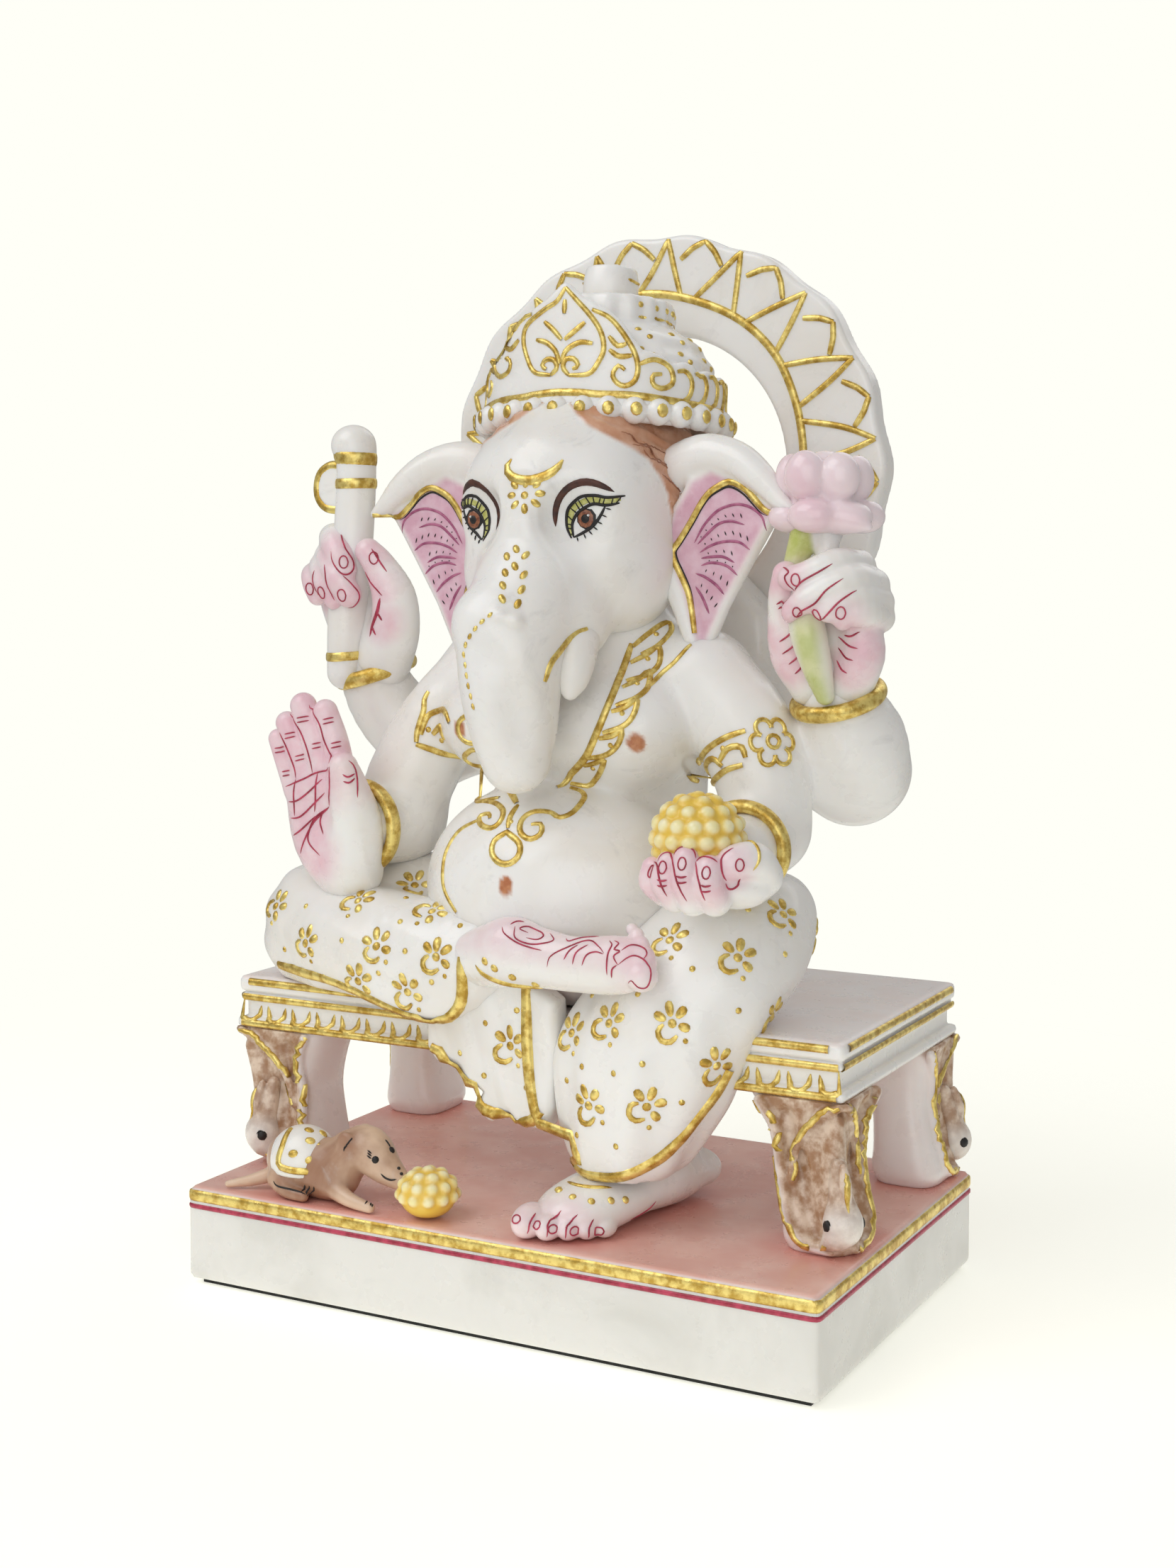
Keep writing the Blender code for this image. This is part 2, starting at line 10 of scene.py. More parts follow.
import bpy
import numpy as np
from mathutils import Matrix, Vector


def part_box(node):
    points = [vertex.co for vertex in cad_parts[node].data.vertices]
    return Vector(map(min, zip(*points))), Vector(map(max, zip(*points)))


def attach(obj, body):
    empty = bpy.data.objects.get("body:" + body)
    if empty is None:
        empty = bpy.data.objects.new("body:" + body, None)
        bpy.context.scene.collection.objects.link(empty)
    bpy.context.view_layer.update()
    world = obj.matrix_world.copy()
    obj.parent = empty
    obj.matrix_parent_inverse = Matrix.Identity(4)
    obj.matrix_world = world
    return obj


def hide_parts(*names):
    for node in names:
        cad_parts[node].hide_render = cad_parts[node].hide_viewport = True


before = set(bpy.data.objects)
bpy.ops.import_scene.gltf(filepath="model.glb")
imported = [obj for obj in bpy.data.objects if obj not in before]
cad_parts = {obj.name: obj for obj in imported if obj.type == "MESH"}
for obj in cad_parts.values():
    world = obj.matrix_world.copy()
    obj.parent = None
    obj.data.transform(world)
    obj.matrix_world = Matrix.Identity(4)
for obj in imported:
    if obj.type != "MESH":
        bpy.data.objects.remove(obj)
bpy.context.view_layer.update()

import openvdb
from mathutils import Matrix, Vector
from mathutils.bvhtree import BVHTree

MM = 0.001
GRAIN = 1.0
FAR = 50.0
DICE = np.random.default_rng(11)


# ---------------------------------------------------------------- places in the frame


def low(node):
    return np.array(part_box(node)[0]) / MM


def high(node):
    return np.array(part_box(node)[1]) / MM


def centre(node):
    return (low(node) + high(node)) / 2


def A(node, values):
    return np.array(values, float)


# ---------------------------------------------------------------- carving kit


def soft_min(a, b, blend):
    if blend <= 0:
        return np.minimum(a, b)
    near = np.maximum(blend - np.abs(a - b), 0.0)
    return np.minimum(a, b) - near * near / (4 * blend)


def smooth_path(points, steps):
    """Catmull-Rom points through stations of any width."""
    points = np.asarray(points, float)
    if len(points) < 3:
        t = np.linspace(0, 1, steps + 1)[:, None]
        return points[0] * (1 - t) + points[-1] * t
    padded = np.vstack([points[0] * 2 - points[1], points, points[-1] * 2 - points[-2]])
    out = []
    for a, b, c, d in zip(padded, padded[1:], padded[2:], padded[3:]):
        for t in np.arange(steps) / steps:
            bend = a * 2 - b * 5 + c * 4 - d
            twist = b * 3 - a - c * 3 + d
            out.append(b + ((c - a) * t + bend * t**2 + twist * t**3) * 0.5)
    return np.vstack([out, points[-1]])


def turned(axis, degrees):
    """A rotation about X, Y or Z, as a 3 by 3 array."""
    return np.array(Matrix.Rotation(math.radians(degrees), 3, axis))


def ball(middle, radii, turn=None):
    """An ellipsoid."""
    middle = np.array(middle, float)
    radii = np.array(radii, float)
    reach = radii if turn is None else np.full(3, radii.max())

    def distance(x, y, z):
        p = [x - middle[0], y - middle[1], z - middle[2]]
        if turn is not None:
            p = [sum(turn[j][i] * p[j] for j in range(3)) for i in range(3)]
        k0 = np.sqrt(sum((p[i] / radii[i]) ** 2 for i in range(3)))
        k1 = np.sqrt(sum((p[i] / radii[i] ** 2) ** 2 for i in range(3)))
        return k0 * (k0 - 1.0) / np.maximum(k1, 1e-6)

    return middle - reach, middle + reach, distance


def limb(stations, steps=3, squash=None):
    """A round-ended tapered limb through (x, y, z, radius) stations; squash is (axis, factor)."""
    path = smooth_path(stations, steps)
    points, radii = path[:, :3], path[:, 3]
    reach = radii[:, None]
    lowest, highest = (points - reach).min(0), (points + reach).max(0)
    axis, factor = squash or (np.array([0.0, 0.0, 1.0]), 1.0)
    axis = np.array(axis, float) / np.linalg.norm(axis)
    stretch = 1 / factor - 1
    flat = points + np.outer(points @ axis, axis) * stretch

    def distance(x, y, z):
        along = (x * axis[0] + y * axis[1] + z * axis[2]) * stretch
        x, y, z = x + along * axis[0], y + along * axis[1], z + along * axis[2]
        best = None
        for a, b, ra, rb in zip(flat, flat[1:], radii, radii[1:]):
            d = b - a
            length = max(d @ d, 1e-9)
            t = np.clip(((x - a[0]) * d[0] + (y - a[1]) * d[1] + (z - a[2]) * d[2]) / length, 0, 1)
            away = np.sqrt(
                (x - a[0] - t * d[0]) ** 2 + (y - a[1] - t * d[1]) ** 2 + (z - a[2] - t * d[2]) ** 2
            ) - (ra + (rb - ra) * t)
            best = away if best is None else np.minimum(best, away)
        return best * min(1.0, factor)

    return lowest, highest, distance


def slab(middle, half, edge=1.0, turn=None):
    """A box with rounded edges."""
    middle = np.array(middle, float)
    half = np.array(half, float)
    reach = half if turn is None else np.full(3, np.linalg.norm(half))

    def distance(x, y, z):
        p = [x - middle[0], y - middle[1], z - middle[2]]
        if turn is not None:
            p = [sum(turn[j][i] * p[j] for j in range(3)) for i in range(3)]
        q = [np.abs(p[i]) - (half[i] - edge) for i in range(3)]
        outside = np.sqrt(sum(np.maximum(v, 0) ** 2 for v in q))
        inside = np.minimum(np.maximum(np.maximum(q[0], q[1]), q[2]), 0)
        return outside + inside - edge

    return middle - reach, middle + reach, distance


def outline_distance(u, v, outline):
    """Signed distance in a plane to a closed outline."""
    outline = np.asarray(outline, float)
    nearest = None
    inside = np.zeros(np.broadcast(u, v).shape, bool)
    for a, b in zip(outline, np.roll(outline, -1, axis=0)):
        d = b - a
        t = np.clip(((u - a[0]) * d[0] + (v - a[1]) * d[1]) / max(d @ d, 1e-9), 0, 1)
        away = (u - a[0] - t * d[0]) ** 2 + (v - a[1] - t * d[1]) ** 2
        nearest = away if nearest is None else np.minimum(nearest, away)
        crosses = (a[1] > v) != (b[1] > v)
        slope = d[0] / d[1] if abs(d[1]) > 1e-9 else 0.0
        inside ^= crosses & (u < a[0] + (v - a[1]) * slope)
    return np.where(inside, -1.0, 1.0) * np.sqrt(nearest)


def plate(outline, sides, edge=1.0):
    """An upright plate with an (x, z) outline between two y values, its edges rounded."""
    outline = np.asarray(outline, float)
    front, back = sides
    middle, half = (front + back) / 2, (back - front) / 2
    lowest = np.array([outline[:, 0].min(), front, outline[:, 1].min()])
    highest = np.array([outline[:, 0].max(), back, outline[:, 1].max()])

    def distance(x, y, z):
        flat = outline_distance(x, z, outline) + edge
        deep = np.abs(y - middle) - (half - edge)
        outside = np.sqrt(np.maximum(flat, 0) ** 2 + np.maximum(deep, 0) ** 2)
        return outside + np.minimum(np.maximum(flat, deep), 0) - edge

    return lowest, highest, distance


class Clay:
    """A carved shape as a distance field on a grid."""

    def __init__(self, lowest, highest, step):
        self.step = step * GRAIN
        self.axes = [np.arange(a, b + self.step, self.step, dtype=np.float32) for a, b in zip(lowest, highest)]
        self.field = np.full([len(a) for a in self.axes], FAR, np.float32)

    def patch(self, lowest, highest, margin):
        window = tuple(
            slice(int(np.searchsorted(a, lo - margin)), int(np.searchsorted(a, hi + margin)))
            for a, lo, hi in zip(self.axes, lowest, highest)
        )
        x, y, z = (a[w] for a, w in zip(self.axes, window))
        return window, x[:, None, None], y[None, :, None], z[None, None, :]

    def add(self, shape, blend=0.0):
        window, x, y, z = self.patch(shape[0], shape[1], blend + 3 * self.step)
        self.field[window] = soft_min(self.field[window], shape[2](x, y, z), blend)
        return self

    def cut(self, shape, blend=0.0):
        window, x, y, z = self.patch(shape[0], shape[1], blend + 3 * self.step)
        self.field[window] = -soft_min(-self.field[window], shape[2](x, y, z), blend)
        return self

    def ripple(self, change, lowest=None, highest=None):
        """Moves the skin outward by change(x, y, z)."""
        window, x, y, z = self.patch(
            [a[0] for a in self.axes] if lowest is None else lowest,
            [a[-1] for a in self.axes] if highest is None else highest,
            0.0,
        )
        self.field[window] -= change(x, y, z)
        return self

    def surface(self):
        """The skin as points in mm and four-sided faces that face out."""
        grid = openvdb.FloatGrid(3 * self.step)
        grid.copyFromArray(np.clip(self.field, -3 * self.step, 3 * self.step), tolerance=0.0)
        points, _, quads = grid.convertToPolygons(0.0, 0.0)
        points = points.astype(float) * self.step + np.array([a[0] for a in self.axes])
        a, b, c = (points[quads[:, i]] for i in (0, 1, 2))
        if np.einsum("ij,ij->i", a, np.cross(b, c)).sum() < 0:
            quads = quads[:, ::-1]
        return points, quads


def build_mesh(name, points, faces):
    """A smooth-shaded object from mm points and faces that all have as many corners."""
    faces = np.asarray(faces, np.int32)
    corners = faces.shape[1]
    mesh = bpy.data.meshes.new(name)
    mesh.vertices.add(len(points))
    mesh.vertices.foreach_set("co", (np.asarray(points, float) * MM).astype(np.float32).ravel())
    mesh.loops.add(faces.size)
    mesh.loops.foreach_set("vertex_index", faces.ravel())
    mesh.polygons.add(len(faces))
    mesh.polygons.foreach_set("loop_start", np.arange(0, faces.size, corners, dtype=np.int32))
    mesh.update(calc_edges=True)
    mesh.validate()
    mesh.shade_smooth()
    obj = bpy.data.objects.new(name, mesh)
    bpy.context.scene.collection.objects.link(obj)
    return obj


def finish_piece(obj, look, nodes=()):
    obj.data.materials.append(look)
    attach(obj, "root")
    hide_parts(*nodes)
    return obj


def paint(obj, name, values):
    """Stores a 0 to 1 value per point for the material to read."""
    layer = obj.data.attributes.new(name, "FLOAT", "POINT")
    layer.data.foreach_set("value", np.clip(values, 0, 1).astype(np.float32))


def points_of(obj):
    flat = np.empty(len(obj.data.vertices) * 3, np.float32)
    obj.data.vertices.foreach_get("co", flat)
    return flat.reshape(-1, 3).astype(float) / MM


def fade(values, start, end):
    """0 at start and 1 at end, smoothly."""
    t = np.clip((values - start) / (end - start), 0, 1)
    return t * t * (3 - 2 * t)


# ---------------------------------------------------------------- lines laid on a skin


class Skin:
    """Carved surfaces that lines are laid on."""

    def __init__(self, *objects):
        graph = bpy.context.evaluated_depsgraph_get()
        self.trees = [BVHTree.FromObject(obj, graph) for obj in objects]

    def nearest(self, point):
        found = [tree.find_nearest(Vector(point) * MM) for tree in self.trees]
        spot, normal, _, _ = min((f for f in found if f[0] is not None), key=lambda f: f[3])
        return np.array(spot) / MM, np.array(normal)

    def seen(self, point, toward):
        """The first skin met from far in front of a point, looking along toward."""
        toward = Vector(toward).normalized()
        start = Vector(point) * MM - toward * 0.4
        found = [tree.ray_cast(start, toward) for tree in self.trees]
        found = [f for f in found if f[0] is not None]
        if not found:
            return self.nearest(point)
        spot, normal, _, _ = min(found, key=lambda f: f[3])
        return np.array(spot) / MM, np.array(normal)


def spaced(points, gap):
    """The same path with points a gap apart."""
    points = np.asarray(points, float)
    steps = np.linalg.norm(np.diff(points, axis=0), axis=1)
    along = np.concatenate([[0], np.cumsum(steps)])
    count = max(3, int(round(along[-1] / gap)) + 1)
    wanted = np.linspace(0, along[-1], count)
    return np.stack([np.interp(wanted, along, points[:, i]) for i in range(points.shape[1])], axis=1)


class Lines:
    """Ribbons, dots and petals gathered into one mesh of small crowned shapes."""

    def __init__(self, skin=None):
        self.skin = skin
        self.points = []
        self.faces = []
        self.count = 0

    def _keep(self, rings, closed=False, capped=True):
        rings = np.asarray(rings)
        rows, columns, _ = rings.shape
        index = np.arange(rows * columns).reshape(rows, columns) + self.count
        last = rows if closed else rows - 1
        for i in range(last):
            j = (i + 1) % rows
            a, b = index[i], index[j]
            self.faces.append(np.stack([a[:-1], a[1:], b[1:], b[:-1]], axis=1))
        self.points.append(rings.reshape(-1, 3))
        self.count += rows * columns

    def ribbon(self, path, width, height, closed=False, toward=None, smooth=6, brush=1.0, sink=0.25,
               gap=None, normals=None):
        """A crowned line on the skin. brush thins its ends; toward lays it as seen along a direction."""
        path = np.asarray(path, float)
        if closed:
            path = np.vstack([path, path[:1]])
        if smooth and len(path) > 2:
            path = smooth_path(path, smooth)
        path = spaced(path, gap or max(0.5, width * 0.7) * GRAIN)
        if self.skin is None:
            spots, outs = path, np.asarray([normals(p) for p in path])
        else:
            laid = [self.skin.seen(p, toward) if toward is not None else self.skin.nearest(p) for p in path]
            spots, outs = (np.array([f[i] for f in laid]) for i in (0, 1))
        if closed:
            spots, outs = spots[:-1], outs[:-1]
            ahead = np.roll(spots, -1, axis=0) - np.roll(spots, 1, axis=0)
        else:
            ahead = np.gradient(spots, axis=0)
        ahead /= np.maximum(np.linalg.norm(ahead, axis=1, keepdims=True), 1e-9)
        across = np.cross(outs, ahead)
        across /= np.maximum(np.linalg.norm(across, axis=1, keepdims=True), 1e-9)
        size = np.ones(len(spots))
        if not closed:
            t = np.linspace(0, 1, len(spots))
            size = 1 - brush * (1 - np.sqrt(np.clip(1 - np.abs(2 * t - 1) ** 3, 0.02, 1)))
        half = size[:, None] * width / 2
        lift = size[:, None] * height
        rings = np.stack([
            spots - across * half - outs * sink,
            spots - across * half * 0.85 + outs * lift * 0.45,
            spots - across * half * 0.4 + outs * lift,
            spots + across * half * 0.4 + outs * lift,
            spots + across * half * 0.85 + outs * lift * 0.45,
            spots + across * half - outs * sink,
        ], axis=1)
        self._keep(rings, closed)
        return self

    def petal(self, spot, out, along, length, width, height, sink=0.3, rows=5, pointed=0.0):
        """A low dome on an oval base, longer along one direction."""
        out = out / np.linalg.norm(out)
        along = along - out * (along @ out)
        along = along / max(np.linalg.norm(along), 1e-9)
        across = np.cross(out, along)
        turns = np.linspace(0, math.tau, 11)
        rings = []
        for level in np.linspace(0, 1, rows):
            reach = math.cos(level * math.pi / 2)
            up = math.sin(level * math.pi / 2) * (height + sink) - sink
            narrow = 1 - pointed * np.clip(np.cos(turns), 0, 1)
            ring = (
                spot + out * up
                + np.outer(np.cos(turns) * length / 2 * reach, along)
                + np.outer(np.sin(turns) * width / 2 * reach * narrow, across)
            )
            rings.append(ring)
        self._keep(rings)
        return self

    def dot(self, point, size, height=0.45, toward=None, along=None, length=None, pointed=0.0):
        spot, out = self.skin.seen(point, toward) if toward is not None else self.skin.nearest(point)
        along = np.array([0.0, 0.0, 1.0]) if along is None else np.asarray(along, float)
        if abs(along @ out) > 0.95 * np.linalg.norm(along):
            along = np.array([1.0, 0.0, 0.2])
        return self.petal(spot, out, along, length or size, size, height, pointed=pointed)

    def make(self, name, look, slot, nodes=()):
        obj = build_mesh(name, np.vstack(self.points), np.vstack(self.faces))
        return finish_piece(obj, look, nodes)


# ---------------------------------------------------------------- materials


def srgb(red, green, blue):
    """A colour as it looks, turned into the light it reflects."""
    return tuple(v / 12.92 if v <= 0.04045 else ((v + 0.055) / 1.055) ** 2.4 for v in (red, green, blue))


class Look:
    """A procedural material built round one Principled shader."""

    def __init__(self, name, roughness, metallic=0.0, **values):
        self.material = bpy.data.materials.new(name)
        self.material.use_nodes = True
        self.tree = self.material.node_tree
        self.shader = self.tree.nodes["Principled BSDF"]
        self.shader.inputs["Roughness"].default_value = roughness
        self.shader.inputs["Metallic"].default_value = metallic
        for socket, value in values.items():
            self.shader.inputs[socket.replace("_", " ")].default_value = value
        self.place = self.node("ShaderNodeTexCoord").outputs["Object"]

    def node(self, kind, **inputs):
        made = self.tree.nodes.new(kind)
        for socket, value in inputs.items():
            self.set(made.inputs[socket.replace("_", " ")], value)
        return made

    def set(self, socket, value):
        if isinstance(value, bpy.types.NodeSocket):
            self.tree.links.new(value, socket)
        else:
            socket.default_value = value

    def noise(self, size, detail=4.0, roughness=0.55, distortion=0.0):
        """Noise with features about this many mm across."""
        made = self.node("ShaderNodeTexNoise", Vector=self.place, Scale=1.0 / (size * MM), Detail=detail)
        made.inputs["Roughness"].default_value = roughness
        made.inputs["Distortion"].default_value = distortion
        return made.outputs["Fac"]

    def band(self, value, start, end, from_value=0.0, to_value=1.0):
        made = self.node("ShaderNodeMapRange", Value=value)
        made.interpolation_type = "SMOOTHSTEP"
        for socket, number in (("From Min", start), ("From Max", end), ("To Min", from_value), ("To Max", to_value)):
            made.inputs[socket].default_value = number
        return made.outputs["Result"]

    def product(self, a, b):
        made = self.node("ShaderNodeMath")
        made.operation = "MULTIPLY"
        self.set(made.inputs[0], a)
        self.set(made.inputs[1], b)
        return made.outputs[0]

    def mix(self, amount, first, second):
        made = self.node("ShaderNodeMix")
        made.data_type = "RGBA"
        self.set(made.inputs["Factor"], amount)
        for socket, colour in (("A", first), ("B", second)):
            target = [s for s in made.inputs if s.name == socket and s.type == "RGBA"][0]
            self.set(target, colour if isinstance(colour, bpy.types.NodeSocket) else (*colour, 1.0))
        return [s for s in made.outputs if s.type == "RGBA"][0]

    def painted(self, name):
        made = self.node("ShaderNodeAttribute")
        made.attribute_name = name
        return made.outputs["Fac"]

    def colour(self, value):
        self.set(self.shader.inputs["Base Color"], value if isinstance(value, bpy.types.NodeSocket) else (*value, 1.0))

    def rough(self, value):
        self.set(self.shader.inputs["Roughness"], value)

    def bump(self, height, strength, depth):
        made = self.node("ShaderNodeBump", Height=height)
        made.inputs["Strength"].default_value = strength
        made.inputs["Distance"].default_value = depth * MM
        self.tree.links.new(made.outputs["Normal"], self.shader.inputs["Normal"])


MARBLE_GLOW = {
    "Subsurface_Weight": 0.35,
    "Subsurface_Radius": (1.0, 0.82, 0.66),
    "Subsurface_Scale": 0.0025,
    "Coat_Weight": 0.25,
    "Coat_Roughness": 0.12,
}
WHITE = srgb(0.965, 0.96, 0.95)
WARM_WHITE = srgb(0.945, 0.93, 0.905)
GREY_VEIN = srgb(0.80, 0.795, 0.79)
PINK = srgb(0.90, 0.70, 0.75)
CRIMSON = srgb(0.66, 0.12, 0.24)


def marble_colour(look, vein=0.35, base=WHITE, warm=WARM_WHITE):
    """Clouded white stone with faint grey veins."""
    cloud = look.mix(look.band(look.noise(38, 5, distortion=0.6), 0.42, 0.72), base, warm)
    veins = look.band(look.noise(22, 7, 0.62, 2.2), 0.56, 0.72, 0.0, vein)
    return look.mix(veins, cloud, GREY_VEIN)


def make_marble(name, vein=0.35, paints=(), base=WHITE, warm=WARM_WHITE, roughness=0.3):
    """Polished marble; paints is (point layer, colour, second colour, mottle size) washes over it."""
    look = Look(name, roughness, **MARBLE_GLOW)
    shade = marble_colour(look, vein, base, warm)
    for layer, first, second, size in paints:
        wash = look.mix(look.band(look.noise(size, 5), 0.35, 0.68), first, second)
        shade = look.mix(look.painted(layer), shade, wash)
    look.colour(shade)
    look.rough(look.band(look.noise(9, 4), 0.3, 0.7, roughness - 0.06, roughness + 0.08))
    look.bump(look.noise(5, 6), 0.12, 0.25)
    return look.material


def make_gold(name="gold_leaf"):
    look = Look(name, 0.35, 0.85)
    tarnish = look.mix(look.band(look.noise(3.2, 6, 0.6), 0.36, 0.62), srgb(0.76, 0.62, 0.28), srgb(0.97, 0.88, 0.54))
    worn = look.band(look.noise(1.5, 5, 0.65), 0.62, 0.74, 0.0, 0.6)
    look.colour(look.mix(worn, tarnish, srgb(0.60, 0.46, 0.20)))
    look.rough(look.band(look.noise(2.0, 5), 0.3, 0.7, 0.26, 0.46))
    look.bump(look.noise(0.9, 6, 0.6), 0.55, 0.25)
    return look.material


def make_paint(name, first, second, size=2.5, roughness=0.4, grain=0.7):
    """Brushed-on paint that varies from one colour to another."""
    look = Look(name, roughness, Coat_Weight=0.2, Coat_Roughness=0.2)
    look.colour(look.mix(look.band(look.noise(size, 5), 0.32, 0.68), first, second))
    look.rough(look.band(look.noise(size * 2, 4), 0.3, 0.7, roughness - 0.06, roughness + 0.08))
    look.bump(look.noise(grain, 5), 0.25, 0.12)
    return look.material


BROWN_WASH = (srgb(0.66, 0.50, 0.37), srgb(0.90, 0.82, 0.74))
HAIR_WASH = (srgb(0.80, 0.58, 0.45), srgb(0.88, 0.71, 0.60))
LOOKS = {
    "marble": make_marble("white_marble", paints=[
        ("blush", srgb(0.90, 0.76, 0.74), srgb(0.93, 0.82, 0.79), 14.0),
        ("brown", srgb(0.72, 0.45, 0.30), srgb(0.80, 0.56, 0.40), 2.0),
    ]),
    "head": make_marble("head_marble", paints=[("hair", *HAIR_WASH, 7.0)]),
    "skin": make_marble("pink_tinted_marble", vein=0.1, paints=[
        ("tint", srgb(0.93, 0.78, 0.82), srgb(0.95, 0.86, 0.88), 7.0),
        ("nail", srgb(0.95, 0.80, 0.82), srgb(0.97, 0.86, 0.87), 2.0),
        ("line", srgb(0.62, 0.10, 0.22), srgb(0.75, 0.20, 0.33), 1.6),
    ]),
    "cloth": make_marble("dhoti_marble", vein=0.2),
    "ear": make_marble("ear_marble", vein=0.15, paints=[
        ("tint", srgb(0.86, 0.68, 0.75), srgb(0.91, 0.78, 0.83), 6.0),
    ]),
    "plinth": make_marble("plinth_marble", vein=0.15, base=srgb(0.905, 0.90, 0.885), warm=srgb(0.85, 0.845, 0.825), paints=[
        ("top", srgb(0.90, 0.69, 0.64), srgb(0.94, 0.77, 0.72), 16.0),
        # deep is painted shade: a darker salmon laid round the places where things stand on the plinth's top
        ("deep", srgb(0.87, 0.57, 0.52), srgb(0.91, 0.65, 0.60), 12.0),
    ]),
    "bench": make_marble("bench_marble", vein=0.06, paints=[
        ("top", srgb(0.96, 0.91, 0.89), srgb(0.97, 0.94, 0.93), 16.0),
    ]),
    "leg": make_marble("washed_marble", vein=0.1, paints=[
        ("rose", srgb(0.94, 0.88, 0.87), srgb(0.95, 0.91, 0.90), 8.0),
        ("wash", *BROWN_WASH, 4.0),
    ]),
    "gold": make_gold(),
    "crimson": make_paint("crimson_line", srgb(0.58, 0.08, 0.20), srgb(0.76, 0.24, 0.36)),
    "black": make_paint("black_line", srgb(0.03, 0.02, 0.02), srgb(0.09, 0.06, 0.06), roughness=0.6),
    "brown": make_paint("brown_line", srgb(0.20, 0.09, 0.06), srgb(0.34, 0.18, 0.12), roughness=0.6),
    "plum": make_paint("plum_line", srgb(0.58, 0.26, 0.42), srgb(0.72, 0.42, 0.55)),
}


# ---------------------------------------------------------------- torso and arms


def torso_shapes(clay):
    belly = A("torso", (-3, -8.5, 115))
    clay.add(ball(belly, (40.5, 31.5, 31)))
    clay.add(ball(A("torso", (-3, 2, 97)), (37, 29, 20)), 10)
    chest = A("torso", (-3, 4, 163))
    clay.add(ball(chest, (38, 23, 27)), 5)
    for side in (-1, 1):
        clay.add(ball(A("torso", (-3 + side * 20, -6.5, 161)), (19, 15.5, 14.5)), 7)
    clay.add(ball(A("torso", (-3, 16, 145)), (34, 16, 52)), 10)
    clay.add(limb(A("torso", [(-36, 9, 176, 12), (-3, 10, 181, 15), (32, 9, 176, 12)])), 9)
    clay.add(limb(A("torso", [(-3, 10, 178, 22), (-3, 9, 205, 21)])), 10)


ARMS = {
    "upper_arm_front_left": [(-37, 7, 174, 13), (-49, 1, 159, 13), (-57.5, -3, 142, 13.2), (-60, -4, 131, 12.6)],
    "forearm_front_left": [(-60, -4, 131, 12.8), (-62, -14, 130, 12), (-63, -24, 130, 10.5)],
    "upper_arm_front_right": [(36, 7, 174, 13.5), (49, 4.5, 159, 14), (55, 3, 145, 13), (56, 1, 134, 12.2)],
    "forearm_front_right": [(56, 0, 134, 12), (57, -10, 131, 11.2), (57.5, -22, 129, 9.5)],
    "upper_arm_rear_left": [(-26, 26, 170, 14), (-46, 26, 158, 13.5), (-63, 19, 150, 12.5)],
    "forearm_rear_left": [(-64, 18, 150, 12.2), (-72, 12, 160, 11.8), (-76, 7, 170, 10.5), (-76.5, 5, 180, 8.5)],
    "upper_arm_rear_right": [(22, 28, 169, 15), (49, 31, 157, 15), (72, 25, 149, 15)],
    "forearm_rear_right": [(74.5, 22.5, 149.5, 15.2), (76.5, 16, 158, 14.2), (74.5, 11, 167, 11.5), (73.5, 8, 178, 9)],
}


def make_body():
    clay = Clay((-94, -47, 84), (94, 50, 216), 1.0)
    torso_shapes(clay)
    for node, stations in ARMS.items():
        clay.add(limb(A(node, stations)), 5 if "upper" in node else 4)
    web = A("halo_web", [(-38, 158), (-44, 176), (-42, 192), (-30, 205), (30, 205), (43, 192), (45, 176), (39, 158)])
    clay.add(plate(web, (30, 47), 4), 7)
    crease = A("torso", [(-30, -27, 147, 1.2), (-3, -33, 143.5, 1.6), (24, -27, 147, 1.2)])
    clay.cut(limb(crease, 6), 5)
    body = build_mesh("carved_body", *clay.surface())
    spots = points_of(body)
    under_belly = fade(spots[:, 2], 112, 90) * fade(spots[:, 1], -15, -30)
    paint(body, "blush", under_belly * 0.55)
    dots = np.zeros(len(spots))
    for spot, wide, tall in (((-29.0, -20, 159.7), 2.1, 2.5), ((26.5, -20, 158), 2.1, 2.5), ((-3, -39.6, 119.3), 1.9, 2.6)):
        near = ((spots[:, 0] - spot[0]) / wide) ** 2 + ((spots[:, 2] - spot[2]) / tall) ** 2
        dots = np.maximum(dots, fade(near, 1.5, 0.8) * (spots[:, 1] < 0))
    paint(body, "brown", dots)
    return finish_piece(body, LOOKS["marble"], [*ARMS, "torso", "halo_web"])


# ---------------------------------------------------------------- head


